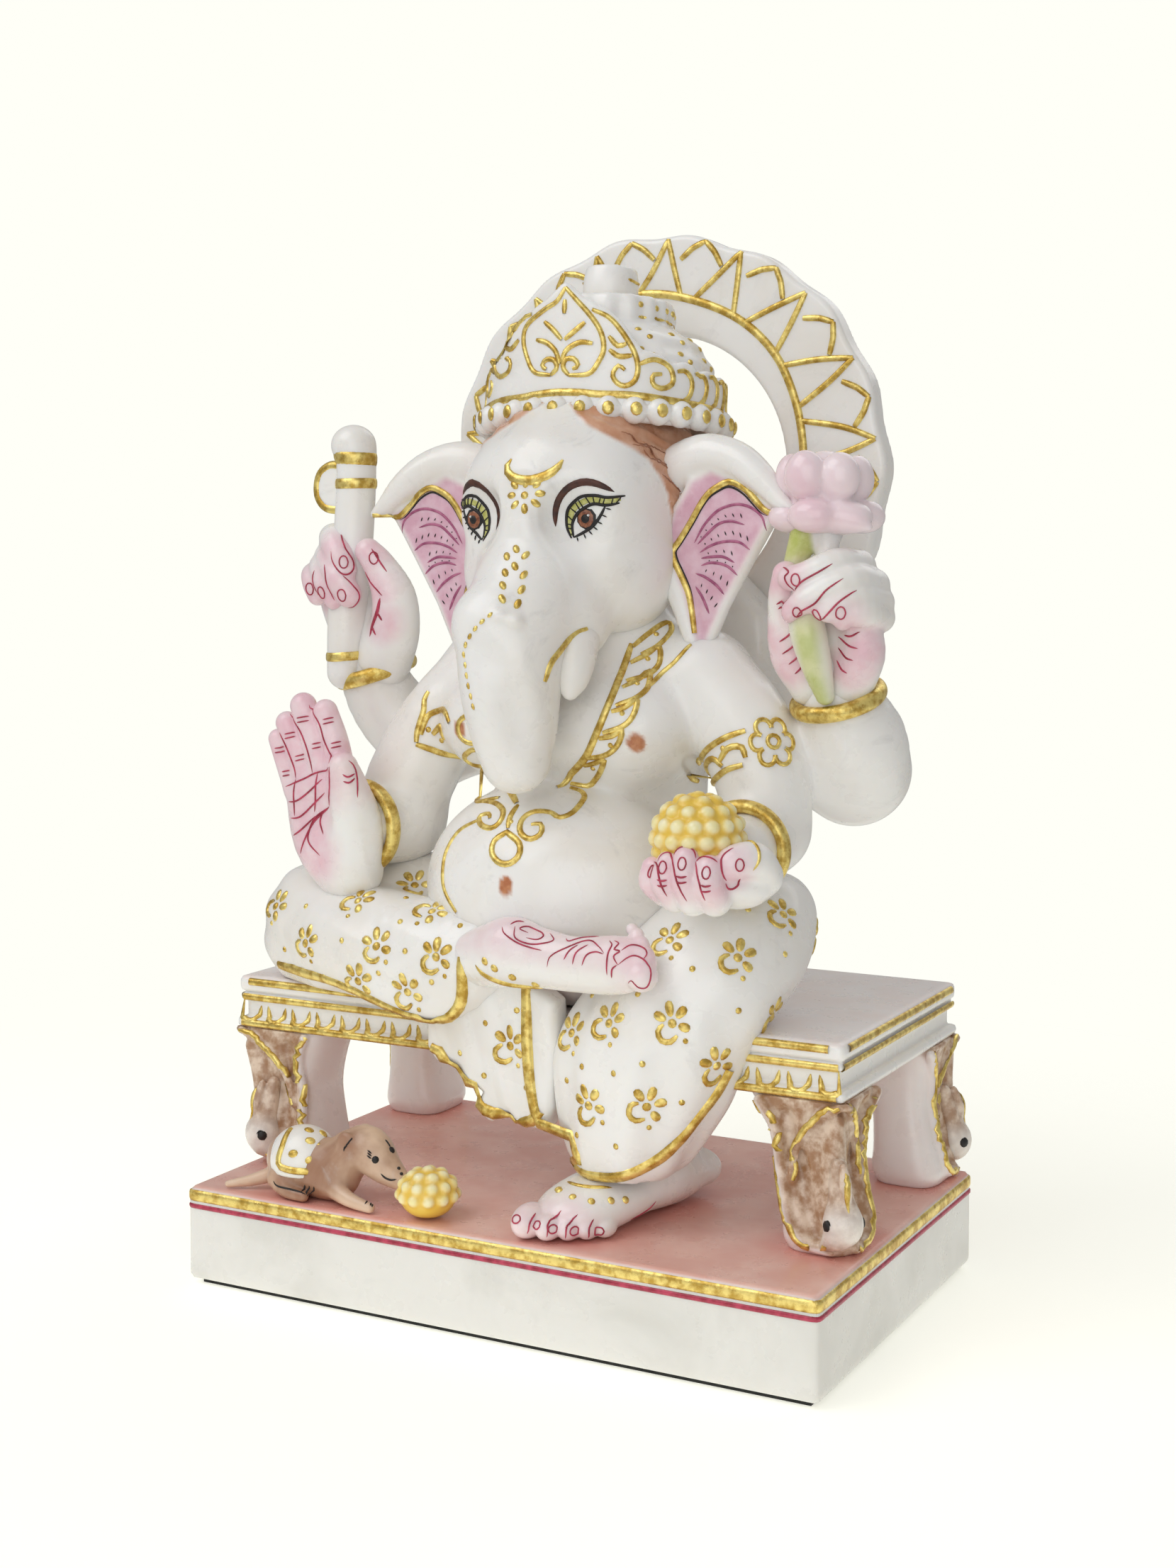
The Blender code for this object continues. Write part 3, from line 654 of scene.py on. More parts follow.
def make_head():
    clay = Clay((-40, -52, 140), (34, 48, 258), 0.85)
    middle = A("head", (-3, 1.5, 222))
    clay.add(ball(middle, (30.5, 29, 33.5)))
    clay.add(ball(A("hair", (-3, 16, 226)), (33, 27.5, 31.5)), 4)
    for side in (-1, 1):
        clay.add(ball(A("head", (-3 + side * 14.5, -3, 204)), (16.5, 20, 17)), 9)
        clay.add(ball(A("head", (-3 + side * 11.5, -12, 226)), (15, 14, 15)), 9)
    bridge = A("head", [(-3, -17, 232, 11), (-3.2, -20, 219, 12.5), (-3.5, -20.5, 208, 14), (-4, -26, 195, 15.5)])
    clay.add(limb(bridge, 4), 8)
    trunk = A("trunk", [(-4, -24, 197, 15.5), (-4.2, -32, 186, 15.5), (-4, -35, 175, 14.2), (-3.5, -34.5, 163, 12.2), (-3.2, -33.5, 153.5, 9.6)])
    clay.add(limb(trunk, 4), 5)
    clay.add(ball(A("trunk", (-9, -40, 191)), (9, 8, 8.5)), 6)
    for side in (-1, 1):
        clay.add(ball(A("tusk", (-3 + side * 12.5, -19.5, 191)), (8, 9, 10)), 5)
    clay.cut(limb(A("trunk", [(0, -53.5, 182, 4.0), (4.0, -51.6, 172, 5.2), (6.5, -48.6, 161, 4.4)]), 4), 6)
    for nub in ((-1.2, -45.6, 193), (2.6, -44.4, 191.8)):
        clay.add(ball(A("trunk", nub), (2.4, 2.2, 1.8)), 1.6)
    clay.cut(limb(A("trunk", [(-7, -53.5, 186, 3.2), (-2, -53.6, 181, 3.6)]), 3), 5)
    for side, eye in ((-1, (-22.2, -19.0, 220)), (1, (13.4, -20.0, 219))):
        clay.cut(ball(A("head", (eye[0], eye[1] - 9.0, eye[2] + 0.5)), (11, 6.5, 8)), 6)
        clay.add(ball(A("head", (eye[0] - side * 0.5, eye[1] + 6.0, eye[2])), (8.6, 8.2, 6.8)), 3)
    head = build_mesh("carved_head", *clay.surface())
    return head


def hairline(spots):
    """1 where a point of the head lies in the painted hair."""
    middle = A("head", (-3, 6, 222))
    turn = np.degrees(np.arctan2(np.abs(spots[:, 0] - middle[0]), -(spots[:, 1] - middle[1])))
    edge = np.interp(turn, [0, 14, 30, 48, 62, 74, 82, 88, 96, 180], [258, 252, 245, 240, 236, 228, 213, 222, 200, 186])
    return fade(spots[:, 2] - edge, -0.8, 0.8)


def make_hair(head):
    spots = points_of(head)
    hair = hairline(spots)
    paint(head, "hair", hair)
    turn = np.arctan2(spots[:, 0] + 3, -(spots[:, 1] - 6))
    waves = np.sin(spots[:, 2] * 1.5 + np.abs(turn) * 7 + 1.6 * np.sin(turn * 9)) * 0.28
    normals = np.empty(len(spots) * 3, np.float32)
    head.data.vertices.foreach_get("normal", normals)
    moved = spots + normals.reshape(-1, 3) * ((waves + 0.5) * hair)[:, None]
    head.data.vertices.foreach_set("co", (moved * MM).astype(np.float32).ravel())
    head.data.update()
    finish_piece(head, LOOKS["head"], ["head", "hair", "trunk"])


HAIR_STRANDS = [
    [(21, -14, 246), (27, -8, 243.5), (32, 0, 240)],
    [(24, -13, 243.6), (29, -6, 240.6), (32.4, 2, 236)],
    [(27.4, -9, 239.6), (30.6, -3, 235.6), (32.6, 4, 230)],
    [(30, -4, 234), (31.4, 1, 229), (31.8, 5, 224)],
]


def comb_hair():
    """Darker strands brushed back over the painted hair."""
    lines = on("carved_head")
    strokes(lines, HAIR_STRANDS + mirrored(HAIR_STRANDS, -3.0), 0.45, 0.2, brush=0.9)
    return lines.make("hair_strands", LOOKS["strand"], "hair_paint")


def make_tusk():
    clay = Clay((2, -36, 166), (20, -8, 202), 0.55)
    clay.add(limb(A("tusk", [(8.8, -19.5, 192, 7.2), (10.0, -24.5, 184, 6.7), (10.9, -27.5, 177, 5.3), (11.3, -29, 172.2, 2.4)]), 5))
    tusk = build_mesh("carved_tusk", *clay.surface())
    return finish_piece(tusk, LOOKS["cloth"], ["tusk"])


def ear_frame(side):
    """Turns (out from the middle of the face, y, height) points into the frame, for one ear."""
    return lambda points: np.array([[-3 + side * p[0], *p[1:]] for p in points], float)


EAR_PANEL = [
    (27, 212), (30, 222), (36, 231), (43, 234), (50, 231), (56, 225.5), (64, 222.5),
    (60.5, 217), (54.5, 207), (47.5, 195), (41.5, 182), (38.5, 182), (33, 199),
]
EAR_RIM = [(23, 9, 217, 5.5), (27, 7, 231, 6.5), (38, 4, 237.0, 6.0), (49, 2, 235.8, 5.2), (57.5, 0, 230.6, 4.2), (64, -1.5, 224.2, 2.6), (67.5, -2, 221.8, 1.3)]
EAR_EDGE = [(24, 6, 214, 5), (28.5, 3, 206, 4), (33, 1.5, 196, 3), (36.5, 0.5, 187, 2.4), (38.2, 0, 181.5, 1.5)]


def make_ear(name, side):
    place = ear_frame(side)
    clay = Clay((-76, -9, 176) if side < 0 else (14, -9, 176), (-18, 22, 247) if side < 0 else (70, 22, 247), 0.7)
    outline = [(-3 + side * out, z) for out, z in EAR_PANEL]
    clay.add(plate(outline, (0.0, 5.0), 2.0))
    clay.add(limb(place(EAR_RIM), 4), 2.5)
    clay.add(limb(place(EAR_EDGE), 4), 2.0)
    clay.add(ball((-3 + side * 26, 10, 213), (8, 9, 17)), 4)
    ear = build_mesh(f"carved_{name}", *clay.surface())
    spots = points_of(ear)
    inner = [(-3 + side * out, z) for out, z in EAR_PANEL]
    depth = -outline_distance(spots[:, 0], spots[:, 2], inner)
    front = fade(spots[:, 1], 1.6, 0.6)
    paint(ear, "tint", fade(depth, 0.5, 3.0) * front)
    return finish_piece(ear, LOOKS["ear"], [name])


LOOKS["lotus"] = make_marble("lotus_marble", vein=0.05, base=srgb(0.96, 0.90, 0.915), warm=srgb(0.93, 0.80, 0.84), roughness=0.2)
LOOKS["stem"] = make_marble("stem_marble", vein=0.1, paints=[("green", srgb(0.74, 0.78, 0.42), srgb(0.85, 0.86, 0.62), 8.0)])
LOOKS["sweet"] = make_marble(
    "sweet_marble", vein=0.0, base=srgb(0.94, 0.80, 0.33), warm=srgb(0.95, 0.80, 0.38),
    paints=[("pale", srgb(0.98, 0.95, 0.80), srgb(0.97, 0.92, 0.68), 3.0)],
)
LOOKS["fur"] = make_marble("mouse_marble", vein=0.3, base=srgb(0.88, 0.77, 0.67), warm=srgb(0.62, 0.45, 0.35), roughness=0.4)
LOOKS["green"] = make_paint("lid_green", srgb(0.70, 0.70, 0.36), srgb(0.82, 0.81, 0.52), 1.6)
LOOKS["strand"] = make_paint("hair_strand", srgb(0.55, 0.34, 0.24), srgb(0.68, 0.46, 0.34), 2.0)
LOOKS["iris"] = make_paint("iris_brown", srgb(0.44, 0.24, 0.16), srgb(0.62, 0.40, 0.28), 1.0, 0.25)
LOOKS["rubber"] = make_paint("black_rubber", srgb(0.05, 0.05, 0.05), srgb(0.10, 0.10, 0.10), 3.0, 0.8)


def column(sections, power=2.0):
    """An upright shape through (x, y, z, half width, half depth) sections; a high power is squarer."""
    path = smooth_path(sections, 6)
    lowest = (path[:, :3] - np.column_stack([path[:, 3:], np.zeros(len(path))])).min(0)
    highest = (path[:, :3] + np.column_stack([path[:, 3:], np.zeros(len(path))])).max(0)

    def distance(x, y, z):
        at = [np.interp(z, path[:, 2], path[:, i]) for i in (0, 1, 3, 4)]
        u, v = np.abs(x - at[0]) / at[2], np.abs(y - at[1]) / at[3]
        reach = (u**power + v**power) ** (1 / power)
        side = (reach - 1) * np.minimum(at[2], at[3])
        ends = np.maximum(path[0, 2] - z, z - path[-1, 2])
        return np.maximum(side, ends)

    return lowest, highest, distance


# ---------------------------------------------------------------- crown and halo

CROWN_MIDDLE = A("crown_band", (-2.8, 17.5, 251))
CROWN_HALF = (37.3, 28.3)
CROWN_LEAN = turned("X", -6.8)


def crown_place(turn, up, out=0.0):
    """A place on the crown's oval: degrees from the front, up from its middle, out from it."""
    a = math.radians(turn)
    flat = ((CROWN_HALF[0] + out) * math.sin(a), -(CROWN_HALF[1] + out) * math.cos(a), up)
    return CROWN_MIDDLE + CROWN_LEAN @ np.array(flat)


def in_crown(x, y, z):
    """(x, y, z) about the crown's middle with its lean taken off."""
    p = (x - CROWN_MIDDLE[0], y - CROWN_MIDDLE[1], z - CROWN_MIDDLE[2])
    return [sum(CROWN_LEAN[j][i] * p[j] for j in range(3)) for i in range(3)]


def oval_distance(x, y, wide, deep):
    k0 = np.sqrt((x / wide) ** 2 + (y / deep) ** 2)
    k1 = np.sqrt((x / wide**2) ** 2 + (y / deep**2) ** 2)
    return k0 * (k0 - 1) / np.maximum(k1, 1e-6)


TIARA_EDGE = [
    (0, 32.6), (4, 30.6), (9, 28.2), (14, 26.6), (22, 24.0), (29, 20.4), (34, 16.4), (38, 13.4),
    (44, 12.8), (50, 11.8), (55, 10.0), (61, 11.2), (67, 10.6), (72, 8.6), (78, 10.0), (84, 9.6), (89, 8.0),
    (95, 9.6), (101, 9.4), (107, 7.8), (114, 9.2), (122, 8.2),
]


def tiara_wall(x, y, z):
    lx, ly, lz = in_crown(x, y, z)
    turn = np.abs(np.degrees(np.arctan2(lx / CROWN_HALF[0], -ly / CROWN_HALF[1])))
    top = np.interp(turn, *zip(*TIARA_EDGE))
    puff = np.exp(-(((turn - 0) / 15) ** 2)) + 0.8 * np.exp(-(((turn - 36) / 12) ** 2))
    deep = np.abs(oval_distance(lx, ly, CROWN_HALF[0] - 2.6, CROWN_HALF[1] - 2.6)) - 1.1 - 0.6 * puff
    tall = np.maximum(lz - top + 1.0, -1 - lz)
    outside = np.sqrt(np.maximum(deep, 0) ** 2 + np.maximum(tall, 0) ** 2)
    ends = (turn - 124) * 0.5
    return np.maximum(outside + np.minimum(np.maximum(deep, tall), 0) - 0.9, ends)


def crown_cap(x, y, z):
    """The lobed dome, the tier on it and the knob."""
    lx, ly, lz = in_crown(x, y, z)
    turn = np.arctan2(lx / CROWN_HALF[0], -ly / CROWN_HALF[1])
    rise = np.clip((lz - 2) / 24.0, 0, 1)
    shrink = 17.0 * rise**3.2
    lobes = 0.55 * np.cos(turn * 14) * (1 - rise) + 0.45 * np.cos(lz * 0.95 + 0.6)
    dome = oval_distance(lx, ly, CROWN_HALF[0] - 3.8 - shrink, CROWN_HALF[1] - 3.4 - shrink * 0.72) - lobes
    dome = np.maximum(dome, np.maximum(-2 - lz, lz - 25))
    bulge = 1.6 * np.sqrt(np.clip(1 - ((lz - 27.6) / 4.4) ** 2, 0, 1)) + 0.35 * np.cos(turn * 18)
    tier = np.maximum(oval_distance(lx, ly, 18.2, 16.0) - bulge, np.abs(lz - 27.5) - 4.4)
    knob = np.maximum(np.sqrt(lx**2 + ly**2) - 7.6 - 0.6 * np.sin((lz - 32) * 0.32), lz - 42.4)
    knob = np.maximum(knob, 25 - lz)
    return soft_min(soft_min(dome, tier, 2.0), knob, 1.2)


def make_crown():
    reach = (np.array([-43, -22, 236.0]), np.array([37, 56, 298.0]))
    clay = Clay(reach[0], reach[1], 0.75)
    clay.add((reach[0], reach[1], crown_cap))
    clay.add((reach[0], reach[1], tiara_wall), 0.6)

    def band(x, y, z):
        lx, ly, lz = in_crown(x, y, z)
        across = oval_distance(lx, ly, CROWN_HALF[0] - 2.6, CROWN_HALF[1] - 2.6)
        return np.sqrt((across / 0.7) ** 2 + (lz + 3.0) ** 2) * 0.8 - 3.4

    clay.add((reach[0], reach[1], band), 1.0)
    nodes = ["crown_band", "crown_dome", "crown_tier", "crown_knob", "crown_tiara"]
    crown = build_mesh("carved_crown", *clay.surface())
    return finish_piece(crown, LOOKS["cloth"], nodes)


BEADS = 30


def make_beads():
    clay = Clay((-44, -14, 239), (38, 50, 260), 0.6)
    for i in range(BEADS):
        turn = 360.0 * i / BEADS
        clay.add(ball(crown_place(turn, -4.0, -0.9), (3.7, 3.7, 3.9)), 0.5)
    beads = build_mesh("crown_beads", *clay.surface())
    return finish_piece(beads, LOOKS["cloth"])


HALO_MIDDLE = A("halo", (1, 51.5, 235))
HALO_END = 56.0


def halo_place(turn, radius, y=-4.5):
    """A place on the halo: degrees up from the right, mm from its middle."""
    a = math.radians(turn)
    return HALO_MIDDLE + np.array([radius * math.cos(a), y, radius * math.sin(a)])


def make_halo():
    lowest, highest = HALO_MIDDLE - (75, 7, 62), HALO_MIDDLE + (75, 7, 75)
    clay = Clay(lowest, highest, 0.85)

    def arch(x, y, z):
        u, w = x - HALO_MIDDLE[0], z - HALO_MIDDLE[2]
        radius = np.sqrt(u * u + w * w)
        turn = np.degrees(np.arctan2(w, u))
        rim = np.interp(np.where(turn < -90, turn + 360, turn), (20, 90, 150), (71.4, 70.9, 73.4)) + 0.7 * np.cos(np.radians(turn * 17.6)) + 0.35 * np.cos(np.radians(turn * 7 + 40))
        flat = np.maximum(radius - rim, 41.2 - radius) + 1.6
        deep = np.abs(y - HALO_MIDDLE[1]) - 4.5 + 1.6
        outside = np.sqrt(np.maximum(flat, 0) ** 2 + np.maximum(deep, 0) ** 2)
        body = outside + np.minimum(np.maximum(flat, deep), 0) - 1.6
        below = -90 + (np.abs(((turn + 90 + 180) % 360) - 180))
        gap = (-HALO_END - below) * 0.9
        return np.maximum(body, gap)

    clay.add((lowest, highest, arch))
    halo = build_mesh("carved_halo", *clay.surface())
    return finish_piece(halo, LOOKS["cloth"], ["halo"])


# ---------------------------------------------------------------- hands


def tinted(obj, tips, reach, heel=()):
    """Pink wash on a hand, strongest at its fingertips and heel."""
    spots = points_of(obj)
    tint = np.zeros(len(spots))
    for tip in [*tips, *heel]:
        away = np.linalg.norm(spots - np.array(tip[:3]), axis=1)
        tint = np.maximum(tint, fade(away, reach, reach * 0.3))
    paint(obj, "tint", tint)


OPEN_HAND = [
    [(-63.5, -30, 145, 4.2), (-64.8, -31, 155, 3.9), (-68, -31.5, 164.2, 3.6)],
    [(-69.5, -30, 145, 4.2), (-72.3, -31, 156, 4.0), (-76.0, -31.2, 165.6, 3.9)],
    [(-75.5, -29.5, 143, 4.0), (-78.4, -30.6, 152, 3.8), (-82, -31, 160.4, 3.4)],
    [(-80.6, -29, 141, 3.6), (-83, -30.2, 149, 3.3), (-85.6, -30.6, 155.6, 2.9)],
]


def make_open_hand():
    clay = Clay((-94, -44, 108), (-46, -14, 174), 0.55)
    palm = A("hand_front_left", [(-66, -26, 119, 10.5), (-69, -27.5, 128, 13.0), (-71, -28.5, 140, 12.5)])
    clay.add(limb(palm, 4, ((0, 1, 0), 0.55)))
    thumb = [(-62, -26, 118, 8), (-60, -28, 130, 8), (-59, -32, 140, 5.8), (-60.3, -34, 148.6, 4.3)]
    clay.add(limb(A("hand_front_left", thumb), 4), 4)
    for finger in OPEN_HAND:
        clay.add(limb(A("hand_front_left", finger), 4), 1.0)
    hollow = A("hand_front_left", (-71, -37.0, 133))
    clay.cut(ball(hollow, (7, 3.2, 9)), 3)
    hand = build_mesh("open_hand", *clay.surface())
    tinted(hand, [f[2] for f in OPEN_HAND] + [f[1] for f in OPEN_HAND] + [f[0] for f in OPEN_HAND], 15, [(-74, -33, 134, 1), (-72, -32, 124, 0)])
    return finish_piece(hand, LOOKS["skin"], ["hand_front_left"])


CUPPED_HAND = [
    [(45.5, -40, 121.5, 4.0), (43.8, -44, 124.5, 3.6), (44, -44.2, 128.2, 3.0)],
    [(49.8, -43, 121, 4.2), (48.6, -46.4, 125.5, 3.8), (49.4, -46, 130.0, 3.2)],
    [(55.4, -44, 120.8, 4.4), (54.8, -47.4, 126.5, 4.0), (54.8, -46.8, 131.6, 3.4)],
    [(61.2, -43, 121, 4.4), (60.9, -46.4, 125.5, 4.0), (60.7, -45.8, 129.4, 3.5)],
]


def make_cupped_hand():
    clay = Clay((34, -54, 112), (80, -14, 142), 0.55)
    middle = A("hand_front_right", (56, -33, 124))
    clay.add(ball(middle, (15, 14, 6.8)))
    heel = [(57.5, -22, 128, 8.5), (62, -28, 125, 7.5), (67, -34, 124.5, 5.5)]
    clay.add(limb(A("hand_front_right", heel), 4), 4)
    for finger in CUPPED_HAND:
        clay.add(limb(A("hand_front_right", finger), 4), 1.0)
    thumb = [(69, -31, 126, 5.6), (69.3, -37, 130.5, 5.2), (66.0, -41, 130.6, 4.7), (64.6, -42, 129.5, 4.0)]
    clay.add(limb(A("hand_front_right", thumb), 4), 1.2)
    hand = build_mesh("cupped_hand", *clay.surface())
    tinted(hand, [f[2] for f in CUPPED_HAND] + [(65, -43, 130, 0)], 9, [f[1] for f in CUPPED_HAND])
    return finish_piece(hand, LOOKS["skin"], ["hand_front_right"])


AXE_HAND = [
    [(-86, 5, 212, 4.8), (-84.5, -3, 214.5, 4.7), (-79.5, -8, 210, 4.3), (-77, -8.2, 205, 3.6)],
    [(-88, 4, 208, 4.8), (-85.5, -4, 209, 4.7), (-79.0, -9, 203, 4.3), (-75.5, -8.6, 197.6, 3.9)],
    [(-91, 4, 204, 4.5), (-88, -4, 206, 4.3), (-84.0, -7.5, 201, 4.0), (-81.5, -7, 196.4, 3.6)],
    [(-94, 3, 201, 4.2), (-92.0, -3, 203.3, 4.0), (-90.0, -5.5, 200.5, 3.7), (-89.2, -5, 197.4, 3.3)],
]


def make_axe_hand():
    clay = Clay((-102, -18, 166), (-50, 20, 224), 0.55)
    clay.add(limb(A("hand_rear_left", [(-76, 6, 174, 8.8), (-79, 5, 183, 9.5), (-84, 5, 196, 10), (-87, 5, 204, 8.5)]), 4, ((0, 1, 0), 0.8)))
    thumb = [(-71, 4, 178, 8.5), (-65.5, 1, 187, 7.6), (-64.0, -1.5, 197, 6.6), (-67.3, -4, 206, 4.9), (-70.5, -5.4, 210.5, 4.0)]
    clay.add(limb(A("hand_rear_left", thumb), 5), 4)
    for finger in AXE_HAND:
        clay.add(limb(A("hand_rear_left", finger), 4), 1.0)
    hand = build_mesh("axe_hand", *clay.surface())
    tinted(hand, [f[3] for f in AXE_HAND] + [f[2] for f in AXE_HAND] + [(-70, -6, 209, 0)], 10, [(-67, -6, 199, 0), (-66, -6, 190, 0)])
    return finish_piece(hand, LOOKS["skin"], ["hand_rear_left"])


LOTUS_HAND = [
    [(81, 6, 206, 4.8), (78, -3, 206.5, 4.6), (71, -7, 203.5, 4.1), (66.5, -6.5, 203, 3.5)],
    [(85, 6, 201, 4.8), (82, -4, 202, 4.8), (73.5, -8.4, 197.8, 4.3), (68.2, -7.4, 194, 3.8)],
    [(86.5, 6, 196.5, 4.6), (84, -3.6, 198, 4.5), (78.5, -7.6, 195, 4.1), (74.6, -7, 192.2, 3.6)],
    [(87, 6, 192.5, 4.3), (86, -2.6, 194, 4.2), (82.4, -5.6, 194, 3.9), (80.5, -5.6, 192.4, 3.4)],
]


def make_lotus_hand():
    clay = Clay((48, -18, 162), (96, 24, 216), 0.55)
    clay.add(limb(A("hand_rear_right", [(73.5, 9.5, 170, 8.8), (73, 8.5, 180, 11), (73, 8, 192, 11.5), (76, 8, 201, 9.5)]), 4, ((0, 1, 0), 0.75)))
    for side, x in ((-1, 63), (1, 83.5)):
        lobe = [(73 + side * 5, 6, 174, 6.5), (x, 3, 182, 6.0), (x, 2, 190, 5.4)]
        clay.add(limb(A("hand_rear_right", lobe), 4), 4)
    thumb = [(62.5, 2, 188, 5.4), (62.2, -0.5, 197, 4.6), (63.8, -3.5, 204, 3.7)]
    clay.add(limb(A("hand_rear_right", thumb), 4), 2.5)
    for finger in LOTUS_HAND:
        clay.add(limb(A("hand_rear_right", finger), 4), 1.0)
    clay.cut(limb(A("hand_rear_right", [(73.5, -6, 176, 3.5), (73, -7, 188, 4.5)]), 4), 5)
    hand = build_mesh("lotus_hand", *clay.surface())
    tinted(hand, [f[3] for f in LOTUS_HAND] + [(63, -4, 204, 0)], 10, [(60, 0, 185, 0), (85, 0, 185, 0), (64, 0, 180, 0), (82, 0, 180, 0)])
    return finish_piece(hand, LOOKS["skin"], ["hand_rear_right"])


# ---------------------------------------------------------------- held things


def make_axe():
    clay = Clay((-100, -10, 168), (-66, 8, 252), 0.55)
    handle = [(-81.5, -2.2, 174, 5.4), (-80.5, -2.4, 190, 5.8), (-78.6, -2, 210, 6.0), (-77.8, -1.2, 228, 6.0), (-77.6, -1, 239, 6.0)]
    clay.add(limb(A("axe_handle", handle), 4))
    clay.add(ball(A("axe_handle", (-78.6, -1, 242.6)), (6.9, 6.6, 6.2)), 1.5)
    axe = build_mesh("carved_handle", *clay.surface())
    finish_piece(axe, LOOKS["cloth"], ["axe_handle"])
    blade = Clay((-98, -6, 212), (-78, 6, 242), 0.5)
    outline = A("axe_blade", [(-83, 236.4), (-87, 236.6), (-90.4, 234.6), (-91.8, 231), (-91.4, 227), (-88.6, 224), (-83, 223.2)])
    blade.add(plate(outline, (-2.0, 0.4), 0.8))
    piece = build_mesh("carved_blade", *blade.surface())
    finish_piece(piece, LOOKS["cloth"], ["axe_blade"])
    rim = Clay((-98, -6, 214), (-78, 6, 242), 0.4)
    rim.add(limb([(x, -0.8, z, 1.5) for x, z in outline], 4))
    piece = build_mesh("blade_rim", *rim.surface())
    return finish_piece(piece, LOOKS["gold"])


LOTUS_PETALS = [
    # lower whorl: middle, radii
    ((62.6, 0.5, 219.6), (5.4, 5.2, 4.2)), ((71.5, -5.0, 219.8), (6.6, 4.4, 4.6)),
    ((80.6, 0.5, 219.4), (6.2, 5.0, 4.2)), ((82.5, 8.0, 219.6), (5.0, 5.4, 4.4)),
    ((62.0, 9.0, 219.6), (5.0, 5.4, 4.4)), ((72.0, 13.0, 219.8), (6.6, 4.6, 4.6)),
    # upper whorl
    ((63.4, 1.5, 230.4), (4.4, 5.4, 6.4)), ((69.4, -4.0, 230.6), (5.8, 4.4, 6.8)),
    ((78.0, -1.0, 230.2), (5.8, 5.0, 6.6)), ((80.0, 7.0, 229.8), (4.6, 5.4, 6.4)),
    ((64.5, 9.5, 230.0), (5.0, 5.0, 6.6)), ((72.5, 11.5, 230.2), (6.2, 4.8, 6.8)),
    ((72.0, 4.0, 231.0), (7.0, 7.0, 6.6)),
]


def make_lotus():
    clay = Clay((52, -12, 208), (94, 22, 242), 0.6)
    for middle, radii in LOTUS_PETALS:
        clay.add(ball(A("lotus_flower", middle), radii), 0.35)
    clay.add(ball(A("lotus_flower", (72, 4, 224.5)), (9.5, 8.5, 5)), 1.5)
    clay.add(ball(A("lotus_flower", (72.5, 4, 217.2)), (11, 8.8, 2.8)), 2)
    tip = [(79, -1.5, 219.5, 4.0), (83.5, -1.6, 217.8, 2.4), (86.6, -1.4, 216.6, 1.0)]
    clay.add(limb(A("lotus_flower", tip), 4), 2)
    lotus = build_mesh("carved_lotus", *clay.surface())
    return finish_piece(lotus, LOOKS["lotus"], ["lotus_flower"])


def make_stem():
    clay = Clay((58, -10, 168), (84, 12, 220), 0.5)
    clay.add(limb(A("lotus_stem", [(74.9, -2.5, 171.5, 2.6), (73.0, -4.2, 180, 4.2), (70.5, -4.6, 190, 5.0), (69, -2, 200, 4.0)]), 4))
    clay.add(limb(A("lotus_stem", [(68, 1, 216, 4.4), (65.5, 0.0, 209, 3.2), (63.5, -1.5, 204, 1.8)]), 4), 1)
    clay.add(limb(A("lotus_stem", [(73.5, 2.5, 217, 4.6), (73.6, 1.5, 211, 3.2), (74.6, 0, 204, 4.0)]), 4), 2)
    stem = build_mesh("carved_stem", *clay.surface())
    spots = points_of(stem)
    lower = fade(spots[:, 2], 200, 188) * (0.35 + 0.65 * fade(np.abs(spots[:, 0] - 71.5 - (190 - spots[:, 2]) * 0.12), 4.5, 1.2))
    upper = fade(spots[:, 2], 203, 210) * fade(spots[:, 0], 71.4, 69.6)
    paint(stem, "green", np.maximum(lower * 0.85, upper))
    return finish_piece(stem, LOOKS["stem"], ["lotus_stem"])


def knobbly(clay, middle, radius, knob, rows, flat=1.0):
    middle = np.array(middle, float)
    clay.add(ball(middle, (radius, radius, radius * flat)), 0.5)
    for polar, count, shift in rows:
        for i in range(count):
            a = math.tau * (i + shift) / count
            p = math.radians(polar)
            out = np.array([math.sin(p) * math.cos(a), math.sin(p) * math.sin(a), math.cos(p) * flat])
            clay.add(ball(middle + out * radius * 0.93, (knob, knob, knob * 0.92)), 0.7)


def make_sweets():
    held = A("sweet_in_hand", (52.8, -35.5, 135.4))
    clay = Clay(held - 16, held + 16, 0.5)
    knobbly(clay, held, 11.6, 2.45, [(0, 1, 0), (24, 6, 0.2), (46, 11, 0.5), (68, 15, 0.1), (90, 16, 0.6), (112, 15, 0.3)], 0.95)
    sweet = build_mesh("held_sweet", *clay.surface())
    away = np.linalg.norm(points_of(sweet) - held, axis=1)
    paint(sweet, "pale", fade(away, 11.8, 12.9) * fade(points_of(sweet)[:, 2], 122, 142))
    finish_piece(sweet, LOOKS["sweet"], ["sweet_in_hand"])
    small = A("mouse_sweet", (-20.8, -51.5, 34.9))
    clay = Clay(small - 12, small + 12, 0.5)
    knobbly(clay, small, 7.9, 1.9, [(0, 1, 0), (34, 7, 0.2), (62, 11, 0.5), (90, 12, 0.1)], 0.82)
    clay.cut(slab(small + (0, 0, -15.8), (14, 14, 10), 0.2), 0.5)
    sweet = build_mesh("floor_sweet", *clay.surface())
    away = np.linalg.norm((points_of(sweet) - small) / (1, 1, 0.82), axis=1)
    paint(sweet, "pale", fade(away, 8.0, 9.4))
    return finish_piece(sweet, LOOKS["sweet"], ["mouse_sweet"])


# ---------------------------------------------------------------- legs, cloth and feet


